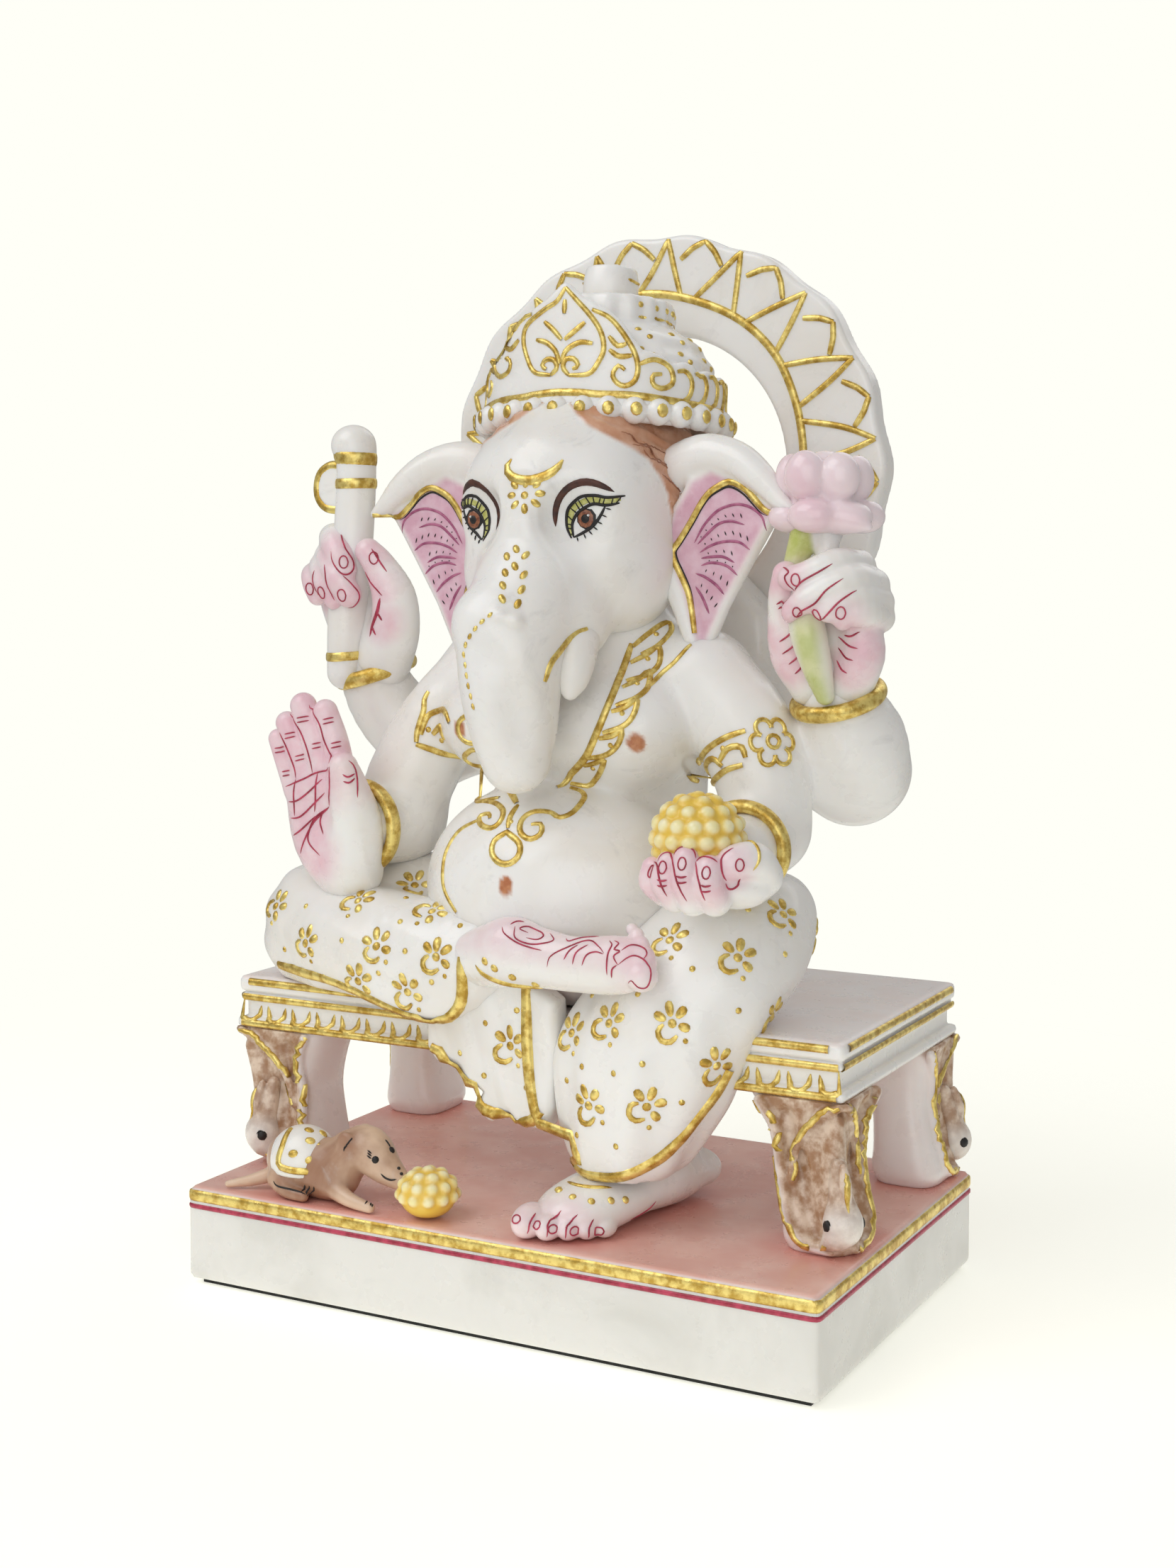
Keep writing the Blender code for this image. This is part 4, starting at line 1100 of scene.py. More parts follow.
def make_folded_leg():
    clay = Clay((-104, -52, 80), (4, 40, 126), 0.9)
    thigh = [(-18, 14, 105, 17), (-48, 3, 102, 18.5), (-79, -10, 98, 20)]
    shin = [(-80, -13, 97, 19), (-62, -23, 96, 17.5), (-38, -28, 96, 16), (-16, -31, 96.5, 12.5)]
    clay.add(limb(A("folded_leg", thigh), 5))
    clay.add(limb(A("folded_leg", shin), 5), 6)

    def folds(x, y, z):
        lean = x * 0.42 + (z - 95) * 1.0 + y * 0.12
        soft = np.sin(lean * 0.52) * 0.35 + np.sin(lean * 0.23 + 1.3) * 0.3
        return soft * fade(y, 5, -20)

    clay.ripple(folds)
    clay.cut(slab(A("folded_leg", (-50, 0, 73.3)), (80, 60, 10), 0.5), 0.8)
    flap = [(-60, -34, 91, 4), (-48, -36.5, 88, 4.5), (-38, -38.0, 85.6, 4.6), (-28, -38.6, 84, 4.6), (-20, -38.6, 85.6, 4.6), (-16.5, -38, 93, 5)]
    clay.add(limb(A("folded_leg", flap), 4, ((0, 1, 0), 0.8)), 4)
    leg = build_mesh("folded_leg_cloth", *clay.surface())
    return finish_piece(leg, LOOKS["cloth"], ["folded_leg"])


HANGING = [
    (29, -29, 42.5, 13, 12), (29.5, -29, 46, 16, 14), (31, -28.5, 54, 20, 15.6), (33, -27.5, 64, 24, 17),
    (34.5, -26.5, 74, 26, 18.8), (38, -21.5, 84, 27.5, 22.5), (43, -13, 95, 27.5, 27), (45, -6, 104, 26, 28),
    (46, 1, 112, 22.5, 24.5), (47, 5, 118, 16, 18), (47, 7, 121, 8, 9),
]


def make_hanging_leg():
    clay = Clay((-2, -56, 38), (80, 36, 126), 0.9)
    clay.add(column(A("hanging_leg", HANGING), 2.2))
    clay.add(limb(A("hanging_leg", [(20, 12, 104, 15), (45, -2, 103, 18), (47, -14, 98, 18)]), 5), 8)

    def pleats(x, y, z):
        turn = np.arctan2(x - 32, -(y + 20))
        fall = np.sin(turn * 11 + np.sin(z * 0.06) * 1.2) * 0.5 + np.sin(turn * 5.3 + 0.7) * 0.45
        return fall * fade(z, 100, 84) * fade(z, 40, 47)

    clay.ripple(pleats)
    hollow = A("hanging_leg", [(29, -29, 38, 12), (29.5, -29, 44.5, 10.5)])
    clay.cut(limb(hollow, 3), 1.5)
    leg = build_mesh("hanging_leg_cloth", *clay.surface())
    return finish_piece(leg, LOOKS["cloth"], ["hanging_leg"])


APRON = [
    (-31, 84), (-31.5, 71), (-28, 67.5), (-24, 67.8), (-20.5, 65.5), (-18, 60.5), (-15, 62.5), (-12.5, 60.5),
    (-14.5, 56), (-10.5, 52.6), (-6.5, 53.2), (-4, 56), (-1, 53), (3, 51.6), (7, 53), (9.5, 58), (10.5, 88), (-6, 96), (-22, 94),
]


def make_apron():
    clay = Clay((-36, -42, 46), (16, -22, 102), 0.8)
    clay.add(plate(A("front_drape", APRON), (-36.8, -28.0), 2.2))

    def pleats(x, y, z):
        lean = x + (z - 70) * 0.28
        return np.sin(lean * 0.66) * 0.5 * fade(z, 96, 84)

    clay.ripple(pleats)
    apron = build_mesh("apron_cloth", *clay.surface())
    return finish_piece(apron, LOOKS["cloth"], ["front_drape"])


UP_TOES = [(41.4, -45.4, 99.6, 4.1), (41.2, -44.0, 104.6, 2.7), (39.6, -42.6, 107.6, 2.2), (37.8, -41.2, 109.6, 1.9), (35.8, -40, 110.8, 1.6)]


def make_folded_foot():
    clay = Clay((-26, -54, 84), (50, -26, 118), 0.6)
    sole = [(-14, -37, 98, 8), (-2, -40.5, 101.0, 9.2), (8, -41.5, 101.0, 8.2), (20, -43, 100.5, 7.4), (33, -43.2, 101.5, 7.8), (38, -43.2, 102.5, 6.2)]
    clay.add(limb(A("folded_foot", sole), 5, ((0, 1, 0), 0.85)))
    clay.add(ball(A("folded_foot", (0.5, -42, 103.5)), (8.5, 7, 7.5)), 3)
    for toe in UP_TOES:
        clay.add(ball(A("folded_foot", toe[:3]), (toe[3] * 1.05, toe[3] * 1.05, toe[3])), 0.8)
    foot = build_mesh("folded_foot_skin", *clay.surface())
    spots = points_of(foot)
    paint(foot, "tint", 0.55 * fade(spots[:, 2], 98, 105) * fade(spots[:, 1], -36, -44) + 0.35 * fade(spots[:, 0], 30, 42))
    return finish_piece(foot, LOOKS["skin"], ["folded_foot"])


DOWN_TOES = [(12.2, -53.2, 33.0, 4.6), (18.2, -53.4, 32.2, 3.5), (23.0, -50.8, 31.9, 3.2), (27.0, -47.8, 31.7, 3.0), (30.4, -44.2, 31.5, 2.8)]


def make_standing_foot():
    clay = Clay((2, -62, 26), (48, 16, 66), 0.6)
    foot = [(33, 2, 36, 9), (29.5, -15, 37.5, 11), (24.5, -31, 36, 12), (21, -41, 34, 11.6), (20, -45, 33.4, 9.0)]
    clay.add(limb(A("standing_foot", foot), 5, ((0, 0, 1), 0.62)))
    clay.add(limb(A("standing_foot", [(28.5, -21, 54, 11.5), (28.5, -17, 42, 10.5), (29, -10, 38, 9.5)]), 5), 6)
    for toe in DOWN_TOES:
        clay.add(ball(A("standing_foot", toe[:3]), (toe[3] * 0.95, toe[3] * 1.5, toe[3])), 0.5)
    clay.cut(slab(A("standing_foot", (22, -20, 18.7)), (40, 50, 10), 0.2), 0.6)
    foot = build_mesh("standing_foot_skin", *clay.surface())
    spots = points_of(foot)
    paint(foot, "tint", 0.6 * fade(spots[:, 1], -44, -54))
    return finish_piece(foot, LOOKS["skin"], ["standing_foot"])


# ---------------------------------------------------------------- bench and plinth


def make_bench():
    lowest, highest = low("bench_slab"), high("bench_slab")
    top = high("bench_plate")[2]
    split = low("bench_plate")[2]
    middle, half = (lowest + highest) / 2, (highest - lowest) / 2
    clay = Clay(lowest - 3, [*(highest[:2] + 3), top + 3], 0.9)
    clay.add(slab(middle, half - (2.2, 2.2, 0), 0.8))
    foot = (*middle[:2], lowest[2] + 1.5)
    clay.add(slab(foot, (*half[:2], 1.5), 1.0), 0.3)
    ledge = (*middle[:2], highest[2] - 1.0)
    clay.add(slab(ledge, (half[0] - 1.0, half[1] - 1.0, 1.2), 0.8), 0.3)
    plate_middle = (*middle[:2], (split + top) / 2)
    clay.add(slab(plate_middle, (half[0] - 0.4, half[1] - 0.4, (top - split) / 2), 1.6), 0.5)
    bench = build_mesh("carved_bench", *clay.surface())
    paint(bench, "top", fade(points_of(bench)[:, 2], top - 1.4, top - 0.4))
    return finish_piece(bench, LOOKS["bench"], ["bench_slab", "bench_plate"])


def bench_leg_sections(sign, rear):
    """The leg's middle line and half widths, foot to bench."""
    bench_x, bench_y = (-90 if sign < 0 else 76), (52.5 if rear else -13.5)
    foot_x, foot_y = sign * 84.0, (47 if rear else -19.5)
    shape = ((0, 9.2, 11.4), (0.1, 10.6, 12.6), (0.3, 9.4, 12.2), (0.55, 8.8, 11.6), (0.78, 11.0, 12.4), (1.0, 15.0, 13.6))
    out = []
    for part, wide, deep in shape:
        lean = part**1.5
        x, y = foot_x * (1 - lean) + bench_x * lean, foot_y * (1 - lean) + bench_y * lean
        out.append((x, y, 28.4 + part * 39.2, wide, deep))
    return out


LEG_EDGE = [(66, 24), (62, 20), (58, 17.5), (50, 16), (41, 16), (35, 15.5), (31.4, 12), (30.4, 5)]
LEG_ARCH = [(66.6, 1.5), (64.5, 6), (60, 9.5), (54, 12), (47, 13)]


def leg_place(sections, sign, out, z, along, proud=0.0):
    """A place on a leg's outer faces: height, then mm from the outer corner, below 0 on the long face."""
    x, y, wide, deep = (np.interp(z, sections[:, 2], sections[:, i]) for i in (0, 1, 3, 4))
    x, y = x + sign * (wide + proud), y + out * (deep + proud)
    return (x + sign * along, y, z) if along < 0 else (x, y - out * along, z)


def leg_paths(end, side, sign, out, path):
    """The same line on both outer faces of a leg."""
    sections = A(f"bench_leg_{end}_{side}", bench_leg_sections(sign, end == "rear"))
    return [[leg_place(sections, sign, out, z, face * along) for z, along in path] for face in (-1, 1)]


def make_bench_leg(end, side, sign, out):
    """A flared bracket: raised edges round a hollow on its two outer faces, and a bird at the corner."""
    name = f"bench_leg_{end}_{side}"
    sections = A(name, bench_leg_sections(sign, end == "rear"))
    lowest = (sections[:, :3] - 20).min(0)
    highest = (sections[:, :3] + 20).max(0)
    clay = Clay((lowest[0], lowest[1], 26), (highest[0], highest[1], 70), 0.7)
    clay.add(column(sections, 3.4))
    hollow = [(63, 16), (58, 13.6), (50, 10.5), (40, 10), (34, 9)]
    for path in leg_paths(end, side, sign, out, hollow):
        clay.cut(limb([(*p, 2.0) for p in path], 4), 2.0)
    for path in leg_paths(end, side, sign, out, LEG_EDGE):
        clay.add(limb([(*p, 1.5) for p in path], 4), 1.0)
    for path in leg_paths(end, side, sign, out, LEG_ARCH):
        clay.add(limb([(*p, 1.1) for p in path], 4), 1.2)
    crest = [leg_place(sections, sign, out, z, -0.1, -1.5) for z in (62, 54, 46, 40)]
    clay.add(limb([(*p, r) for p, r in zip(crest, (2.0, 3.0, 3.2, 3.6))], 4), 2.5)
    leg = build_mesh(f"carved_{name}", *clay.surface())
    spots = points_of(leg)
    at = [np.interp(spots[:, 2], sections[:, 2], sections[:, i]) for i in (0, 1, 3, 4)]
    across = (at[0] + sign * at[2] - spots[:, 0]) * sign
    deep = (at[1] + out * at[3] - spots[:, 1]) * out
    edge = np.interp(spots[:, 2], *zip(*sorted(LEG_EDGE)))
    faced = fade(np.minimum(across, deep), 6, 3) * fade(np.maximum(across, deep) - edge, 1.5, -1.0)
    paint(leg, "wash", faced)
    paint(leg, "rose", np.full(len(spots), 0.6))
    finish_piece(leg, LOOKS["leg"], [name])
    return make_bird(end, side, sign, out)


def bird_middle(end, side, sign, out):
    return A(f"bird_{end}_{side}", (sign * 92.0, -31.0 if out < 0 else 58.5, 37.0))


def make_bird(end, side, sign, out):
    """A bird's head on the corner of a leg's foot: round head, arched neck and beak."""
    name = f"bird_{end}_{side}"
    x, y, z = bird_middle(end, side, sign, out)
    clay = Clay((x - 15, y - 15, 27), (x + 15, y + 15, 64), 0.55)
    clay.add(ball((x, y, z), (5.0, 5.0, 5.4)))
    neck = [(x, y, z + 2, 4.2), (x - sign * 1.2, y - out * 1.2, z + 8, 3.2), (x - sign * 2.4, y - out * 2.4, z + 15, 2.2)]
    clay.add(limb(neck, 4), 3)
    beak = [(x - sign * 1.6, y + out * 1.2, z - 3.0, 3.2), (x - sign * 5.0, y + out * 0.8, z - 5.6, 1.3)]
    clay.add(limb(beak, 4), 1.5)
    crest = [(x + sign * 1.2, y + out * 1.2, z + 6.4, 1.4), (x + sign * 1.0, y + out * 1.0, z + 11, 1.7), (x, y, z + 15.5, 1.0)]
    clay.add(limb(crest, 4), 0.5)
    clay.cut(slab((x, y, 18.7), (30, 30, 10), 0.2), 0.4)
    bird = build_mesh(f"carved_{name}", *clay.surface())
    spots = points_of(bird)
    paint(bird, "wash", 0.35 + 0.55 * fade(spots[:, 2], z + 2, z + 8) + 0.4 * fade(spots[:, 2], z - 2, z - 6))
    return finish_piece(bird, LOOKS["leg"], [name])


def paint_leg(end, side, sign, out):
    """Gold edges, arch and crest on a leg, and the bird's black eye."""
    lines = on(f"carved_bench_leg_{end}_{side}", f"carved_bird_{end}_{side}")
    for path in leg_paths(end, side, sign, out, LEG_EDGE):
        lines.ribbon(path, 2.0, 0.5, brush=0.2)
    for path in leg_paths(end, side, sign, out, LEG_ARCH):
        lines.ribbon(path, 1.9, 0.5, brush=0.5)
    x, y, z = bird_middle(end, side, sign, out)
    lines.ribbon([(x + sign * 4, y + out * 4, z + 6), (x + sign * 4, y + out * 4, z + 11), (x + sign * 3, y + out * 3, z + 16)], 1.7, 0.5)
    lines.ribbon([(x - sign * 5.4, y + out * 3, z - 6.6), (x - sign * 3.4, y + out * 4, z - 5)], 1.8, 0.4, smooth=0)
    lines.make(f"leg_gold_{end}_{side}", LOOKS["gold"], "gold_leaf")
    black = on(f"carved_bird_{end}_{side}")
    for ax, ay in ((-3.4, 5.0), (5.0, -3.4)):
        eye = (x + sign * ax, y + out * ay, z + 1.0)
        black.dot(eye, 3.0, 0.5)
        black.ribbon([(eye[0], eye[1], eye[2] + 1.7), (eye[0] + sign * 1.2, eye[1], eye[2] + 1.4), (eye[0] + sign * 2, eye[1], eye[2] + 0.4)], 0.5, 0.25)
        black.ribbon([(eye[0] - sign * 1.4, eye[1], eye[2]), (eye[0] - sign * 0.6, eye[1], eye[2] - 1.6)], 0.5, 0.25, smooth=0)
    return black.make(f"bird_eye_{end}_{side}", LOOKS["black"], "washed_marble")


def make_plinth():
    lowest, highest = low("plinth"), high("plinth")
    middle, half = (lowest + highest) / 2, (highest - lowest) / 2
    clay = Clay(lowest - 3, highest + 3, 1.15)
    clay.add(slab(middle, half, 1.5))
    block = build_mesh("carved_plinth", *clay.surface())
    spots = points_of(block)
    top = fade(spots[:, 2], highest[2] - 1.2, highest[2] - 0.3)
    paint(block, "top", top)
    # Painted shade: the top turns a darker salmon round the bench legs, the standing foot and the mouse, where they
    # meet it.
    near = np.full(len(spots), 99.0)
    for x, y, wide, deep in ((84, -19.5, 10, 12), (-84, -19.5, 10, 12), (84, 47, 10, 12), (-84, 47, 10, 12), (21, -34, 12, 22), (29, -8, 8, 14), (-50, -50, 28, 7)):
        reach = np.sqrt(np.maximum(np.abs(spots[:, 0] - x) - wide * 0.6, 0) ** 2 + np.maximum(np.abs(spots[:, 1] - y) - deep * 0.6, 0) ** 2)
        near = np.minimum(near, reach)
    paint(block, "deep", top * fade(near, 15, 3) * 0.85)
    return finish_piece(block, LOOKS["plinth"], ["plinth"])


# ---------------------------------------------------------------- mouse


def make_mouse():
    clay = Clay((-92, -66, 27), (-24, -38, 56), 0.5)
    clay.add(ball(A("mouse_body", (-64, -49.5, 37.5)), (11.5, 7.6, 9.2)))
    clay.add(ball(A("mouse_body", (-54, -49.8, 36.0)), (9, 7.2, 8.2)), 4)
    head = [(-48, -48.5, 42, 6.4), (-42.5, -48.5, 43.4, 6.6), (-36, -49.6, 39.6, 4.6), (-30.5, -50.6, 37.0, 2.8)]
    clay.add(limb(A("mouse_head", head), 5), 3)
    for y in (-53.6, -43.8):
        clay.add(ball(A("mouse_head", (-46.4, y, 45.6)), (3.2, 1.5, 3.6)), 0.8)
    clay.add(limb(A("mouse_tail", [(-73, -50, 33, 2.4), (-79, -53.5, 31, 1.7), (-85, -56.8, 29.9, 1.0)]), 5), 1.5)
    hind = [(-68, -54.5, 33.5, 4.0), (-64, -56.5, 30.8, 2.2), (-58.5, -57.2, 30.2, 1.6)]
    clay.add(limb(A("mouse_body", hind), 4), 1.2)
    fore = [(-52, -53.5, 33.5, 3.2), (-44, -56, 31.2, 2.1), (-36.5, -56.8, 30.0, 1.5)]
    clay.add(limb(A("mouse_body", fore), 4), 1.2)
    clay.cut(slab((-58, -50, 18.7), (60, 40, 10), 0.2), 0.3)
    mouse = build_mesh("carved_mouse", *clay.surface())
    finish_piece(mouse, LOOKS["fur"], ["mouse_body", "mouse_head", "mouse_tail"])
    saddle = Clay((-78, -62, 28), (-48, -38, 52), 0.5)
    saddle.add(ball(A("mouse_saddle", (-63.5, -49.5, 38.0)), (10.5, 9.1, 9.9)))
    saddle.cut(slab((-63.5, -49.5, 28.0), (14, 14, 7.0), 0.2), 0.5)
    for x in (-80.2, -45.8):
        saddle.cut(slab((x, -49.5, 40), (9.2, 20, 20), 0.2, turned("Y", 8 if x > -60 else -6)), 0.5)
    piece = build_mesh("saddle_cloth", *saddle.surface())
    return finish_piece(piece, LOOKS["cloth"], ["mouse_saddle"])


# ---------------------------------------------------------------- rings


def make_rings():
    for node, middle, axis, radius in (
        ("bangle_front_left", (-62.5, -21, 130), (-0.15, -1.0, 0.0), 12.2),
        ("bangle_front_right", (57.3, -17, 130.5), (0.1, -1.0, 0.0), 11.6),
        ("bangle_rear_left", (-76, 6.5, 174), (-0.25, -0.2, 1.0), 11.2),
        ("bangle_rear_right", (74, 9.5, 170), (-0.12, -0.35, 1.0), 11.8),
    ):
        middle, axis = A(node, middle), np.array(axis) / np.linalg.norm(axis)
        clay = Clay(middle - 18, middle + 18, 0.6)

        def ring(x, y, z):
            p = (x - middle[0], y - middle[1], z - middle[2])
            along = sum(p[i] * axis[i] for i in range(3))
            out = np.sqrt(np.maximum(sum(v * v for v in p) - along**2, 0))
            return np.sqrt((out - radius) ** 2 + (along * 0.8) ** 2) - 1.9

        clay.add((middle - 16, middle + 16, ring))
        obj = build_mesh(f"gold_{node}", *clay.surface())
        finish_piece(obj, LOOKS["gold"], [node])


# ---------------------------------------------------------------- painted and gilded lines


def on(*names):
    return Lines(Skin(*(bpy.data.objects[name] for name in names)))


def mirrored(paths, middle):
    """The same paths on the other side of an upright plane."""
    return [[(2 * middle - x, y, z) for x, y, z in path] for path in paths]


def strokes(lines, paths, width, height=0.3, **more):
    for path in paths:
        lines.ribbon(path, width, height, **more)
    return lines


def dots(lines, places, size, height=0.5, **more):
    for place in places:
        lines.dot(place, size, height, **more)
    return lines


def round_path(middle, reach, start, end, up=(0, 0, 1), side=(1, 0, 0), shrink=1.0):
    """Points round a middle from one angle to another, drawing in to shrink times the reach."""
    turns = np.radians(np.linspace(start, end, max(5, int(abs(end - start) / 30) + 1)))
    sizes = np.linspace(reach, reach * shrink, len(turns))
    middle, up, side = (np.asarray(v, float) for v in (middle, up, side))
    return [middle + r * (math.cos(t) * side + math.sin(t) * up) for t, r in zip(turns, sizes)]


def motif(lines, place, size=8.5, lean=0.0, toward=None):
    """A gold flower on the cloth: three petals above, a curled leaf, a small leaf and a seed."""
    skin = lines.skin
    spot, out = skin.seen(place, toward) if toward is not None else skin.nearest(place)
    up = np.array([0.0, 0.0, 1.0]) - out * out[2]
    if np.linalg.norm(up) < 0.35:
        up = np.array([0.0, 1.0, 0.0]) - out * out[1]
    up /= np.linalg.norm(up)
    side = np.cross(up, out)
    c, s = math.cos(math.radians(lean)), math.sin(math.radians(lean))
    up, side = up * c + side * s, side * c - up * s
    r = size / 8.5
    lines.petal(spot, out, up, 2.3 * r, 2.3 * r, 0.55)
    for turn, reach, length in ((90, 3.3, 3.9), (38, 3.2, 3.5), (142, 3.2, 3.5), (-28, 2.9, 3.0)):
        a = math.radians(turn)
        along = up * math.sin(a) + side * math.cos(a)
        at, normal = skin.nearest(spot + along * reach * r)
        lines.petal(at, normal, along, length * r, 2.2 * r, 0.55, pointed=-0.3)
    curl = [spot + r * (side * x + up * y) for x, y in ((-2.0, 0.2), (-3.6, -1.0), (-3.2, -3.2), (-1.2, -3.9), (0.6, -2.8))]
    lines.ribbon(curl, 1.5 * r, 0.5, smooth=4, brush=0.6)
    at, normal = skin.nearest(spot + r * (up * -4.4 + side * 2.2))
    lines.petal(at, normal, up, 1.4 * r, 1.4 * r, 0.45)


# On the crown, paths are (degrees from the front, up).

TIARA_SCROLLS = [
    [(-4, 5.7), (-13, 6.9), (-18, 11.3), (-21, 16.8), (-19, 21), (-9, 24.8), (-3, 26.7), (1, 30.5)],
    [(5, 5.4), (14, 5.8), (18, 9.2), (20, 13), (18, 18), (13, 22.5), (7, 26.5), (1, 30.5)],
    [(-4, 5.7), (-1, 7.7), (-3, 10), (-7, 10.2), (-9, 8.5), (-6.5, 7.4)],
    [(5, 5.4), (2, 7.6), (3, 10), (7, 10), (9, 8), (6.5, 7.2)],
    [(-13, 16.2), (-7, 15), (-2, 12.2), (0, 8.6)],
    [(15, 14.4), (9, 14.7), (3, 12.5), (1, 9)],
    [(-9, 21.1), (-4, 18.6), (0.5, 15.6)],
    [(11, 20.4), (7, 18.2), (2, 15.6)],
    [(1, 27), (1, 23)],
    [(14, 24), (22, 21.6), (29, 16.7), (34, 12), (36, 7.8), (35, 4.3), (31, 2.6), (27, 3.2), (24.5, 5.6), (27, 8.2), (30, 7)],
    [(22, 16.4), (26, 13.8), (30, 14.4)],
    [(22.5, 12.6), (27, 10.8), (33, 11.2)],
    [(36, 8.7), (44, 10.5), (52, 8.6), (54, 4.6), (49, 2.6), (44, 3.4), (43.5, 6), (48, 6.6)],
]
LEFT_SCROLLS = [
    [(-17, 24), (-24, 23.5), (-31, 22.4), (-39, 18.2), (-45, 13.4), (-44, 9.7), (-37, 7.2), (-30, 8.2), (-29, 11), (-33, 12.3)],
    [(-24, 17), (-29, 14.6), (-34, 15.6)],
    [(-45, 9), (-52, 10.8), (-58, 8), (-58, 4.6), (-52, 3), (-47, 5), (-50, 7)],
]


def crown_path(path, out=1.6):
    return [crown_place(turn, up, out) for turn, up in path]


def gild_tiara():
    lines = on("carved_crown")
    for path in TIARA_SCROLLS + LEFT_SCROLLS:
        lines.ribbon(crown_path(path), 1.7, 0.6, smooth=5, brush=0.4)
    for turn in (*range(57, 120, 11), *range(-63, -120, -11)):
        side = 1 if turn > 0 else -1
        loop = [(-1, 7.8), (4, 8.2), (8.4, 5.6), (7.5, 1.8), (2.5, 0.2)]
        lines.ribbon(crown_path([(turn + side * a, up) for a, up in loop]), 1.6, 0.6, brush=0.4)
    lines.ribbon(crown_path([(t, 0.9 - abs(t) * 0.02) for t in range(-122, 123, 9)]), 2.4, 0.6, brush=0)
    return lines.make("tiara_gold", LOOKS["gold"], "gold_leaf")


def gild_beads():
    lines = on("crown_beads")
    for i in range(BEADS):
        lines.dot(crown_place(360.0 * i / BEADS, -4.2, 4), 3.5, 0.5, length=4.0)
    return lines.make("bead_gold", LOOKS["gold"], "gold_leaf")


def gild_dome():
    """Gold dots down the dome's ribs, round the tier and on the knob."""
    lines = on("carved_crown")
    for i in range(14):
        turn = 360.0 * (i + 0.5) / 14
        for up, out, size in ((22.5, -9, 2.3), (19, -6.2, 1.9), (15.5, -4, 2.2), (12, -2.6, 1.8)):
            if up > np.interp(abs((turn + 180) % 360 - 180), *zip(*TIARA_EDGE)) - 2:
                lines.dot(crown_place(turn + (6 if size < 2 else 0), up, out), size, 0.5)
    for i in range(18):
        lines.dot(crown_place(360.0 * i / 18, 28.5, -17), 2.0, 0.5)
    tier = [crown_place(t, 31.6, -20.5) for t in range(0, 360, 15)]
    lines.ribbon(tier, 1.1, 0.4, closed=True, smooth=0)
    lines.ribbon([crown_place(t, 25.2, -20) for t in range(0, 360, 15)], 1.0, 0.4, closed=True, smooth=0)
    lines.ribbon([crown_place(t, 38, -30) for t in range(0, 360, 30)], 1.0, 0.4, closed=True, smooth=3)
    return lines.make("dome_gold", LOOKS["gold"], "gold_leaf")


HALO_RING = [(-22, 46.5), (-8, 46.6), (7, 47.3), (25, 48.7), (43, 50.8), (62, 51.8), (84, 53), (101, 54.5), (118, 55), (135, 54.6), (152, 53.6), (170, 52.4), (186, 51), (201, 50)]


def gild_halo():
    """A ring with open triangles on it, and carets between them at the edge."""
    lines = on("carved_halo")
    front = (0.0, 1.0, 0.0)
    ring = lambda turn: np.interp(turn, *zip(*HALO_RING))
    lines.ribbon([halo_place(t, r, -8) for t, r in HALO_RING], 2.7, 0.7, toward=front, brush=0)
    for i in range(-1, 10):
        apex = 6.6 + 20.3 * i
        for foot in (10.2, -5.4):
            path = [halo_place(apex, 69.8, -8), halo_place(apex + foot * 0.45, 60.5, -8), halo_place(apex + foot, ring(apex + foot), -8)]
            lines.ribbon(path, 2.0, 0.6, toward=front, brush=0.25, smooth=3)
        tip = apex + 10.1
        for side in (-1, 1):
            path = [halo_place(tip, 70.2, -8), halo_place(tip + side * 3.2, 67.6, -8), halo_place(tip + side * 6.2, 64, -8)]
            lines.ribbon(path, 2.0, 0.6, toward=front, brush=0.25, smooth=0)
    return lines.make("halo_gold", LOOKS["gold"], "gold_leaf")


FACE_MIDDLE = A("head", (-5.6, 0, 0))[0]
EYE_LINES = [
    [(9.6, -24, 214.1), (8.8, -23.3, 217.5), (10, -23.1, 220.3), (12.5, -22.9, 222.2), (15.3, -22.8, 223.2), (18.5, -22, 222.8), (22, -20.5, 223.4)],
    [(9, -24, 213.6), (7.4, -23.8, 217.2), (7.5, -23.7, 221.3), (9.6, -23.8, 223.8), (12.3, -23.9, 225.3), (16, -23.3, 225.5), (19, -22.4, 224.9), (23.4, -19.4, 225.4)],
    [(9.6, -24, 214.1), (12.2, -22.9, 215.5), (14.8, -22.7, 217.1), (16.8, -22.4, 219.6), (18.4, -22.1, 222.6)],
]
LID = [(9.1, -24, 214.6), (8.0, -23.5, 217.4), (8.7, -23.4, 221), (11, -23.3, 223.2), (14.6, -23, 224.4), (18.6, -22, 224), (22, -20, 224.4)]
BROW = [(4.7, -25.3, 217), (4.7, -25.3, 221.5), (6.2, -25.8, 224.9), (9, -26.2, 227.5), (12.4, -25.7, 228.9), (15.4, -24.7, 229), (18.2, -23.2, 228), (21, -21.6, 226.4)]
LOWER_LASHES = [
    [(10.6, -24, 214.4), (11, -24, 213)], [(12.2, -23, 215.2), (13, -23.4, 213.8)], [(13.6, -23, 216), (14.8, -23, 214.8)],
    [(15, -23, 217), (16.4, -23, 216)], [(16.2, -23, 218.4), (17.8, -23, 217.6)], [(17.4, -22.6, 220.2), (19, -22.4, 219.6)],
    [(18.4, -22, 222), (20, -21.6, 221.6)],
]


def upper_lashes():
    """Short strokes from the lid's lower line across to its upper one."""
    below, above = (spaced(smooth_path(path, 4), 1.15) for path in EYE_LINES[:2])
    steps = np.linspace(0.06, 0.97, 13)
    ends = [[line[int(t * (len(line) - 1))] for t in steps] for line in (below, above)]
    return [[tuple(a), tuple(a + (b - a) * 0.92)] for a, b in zip(*ends)]


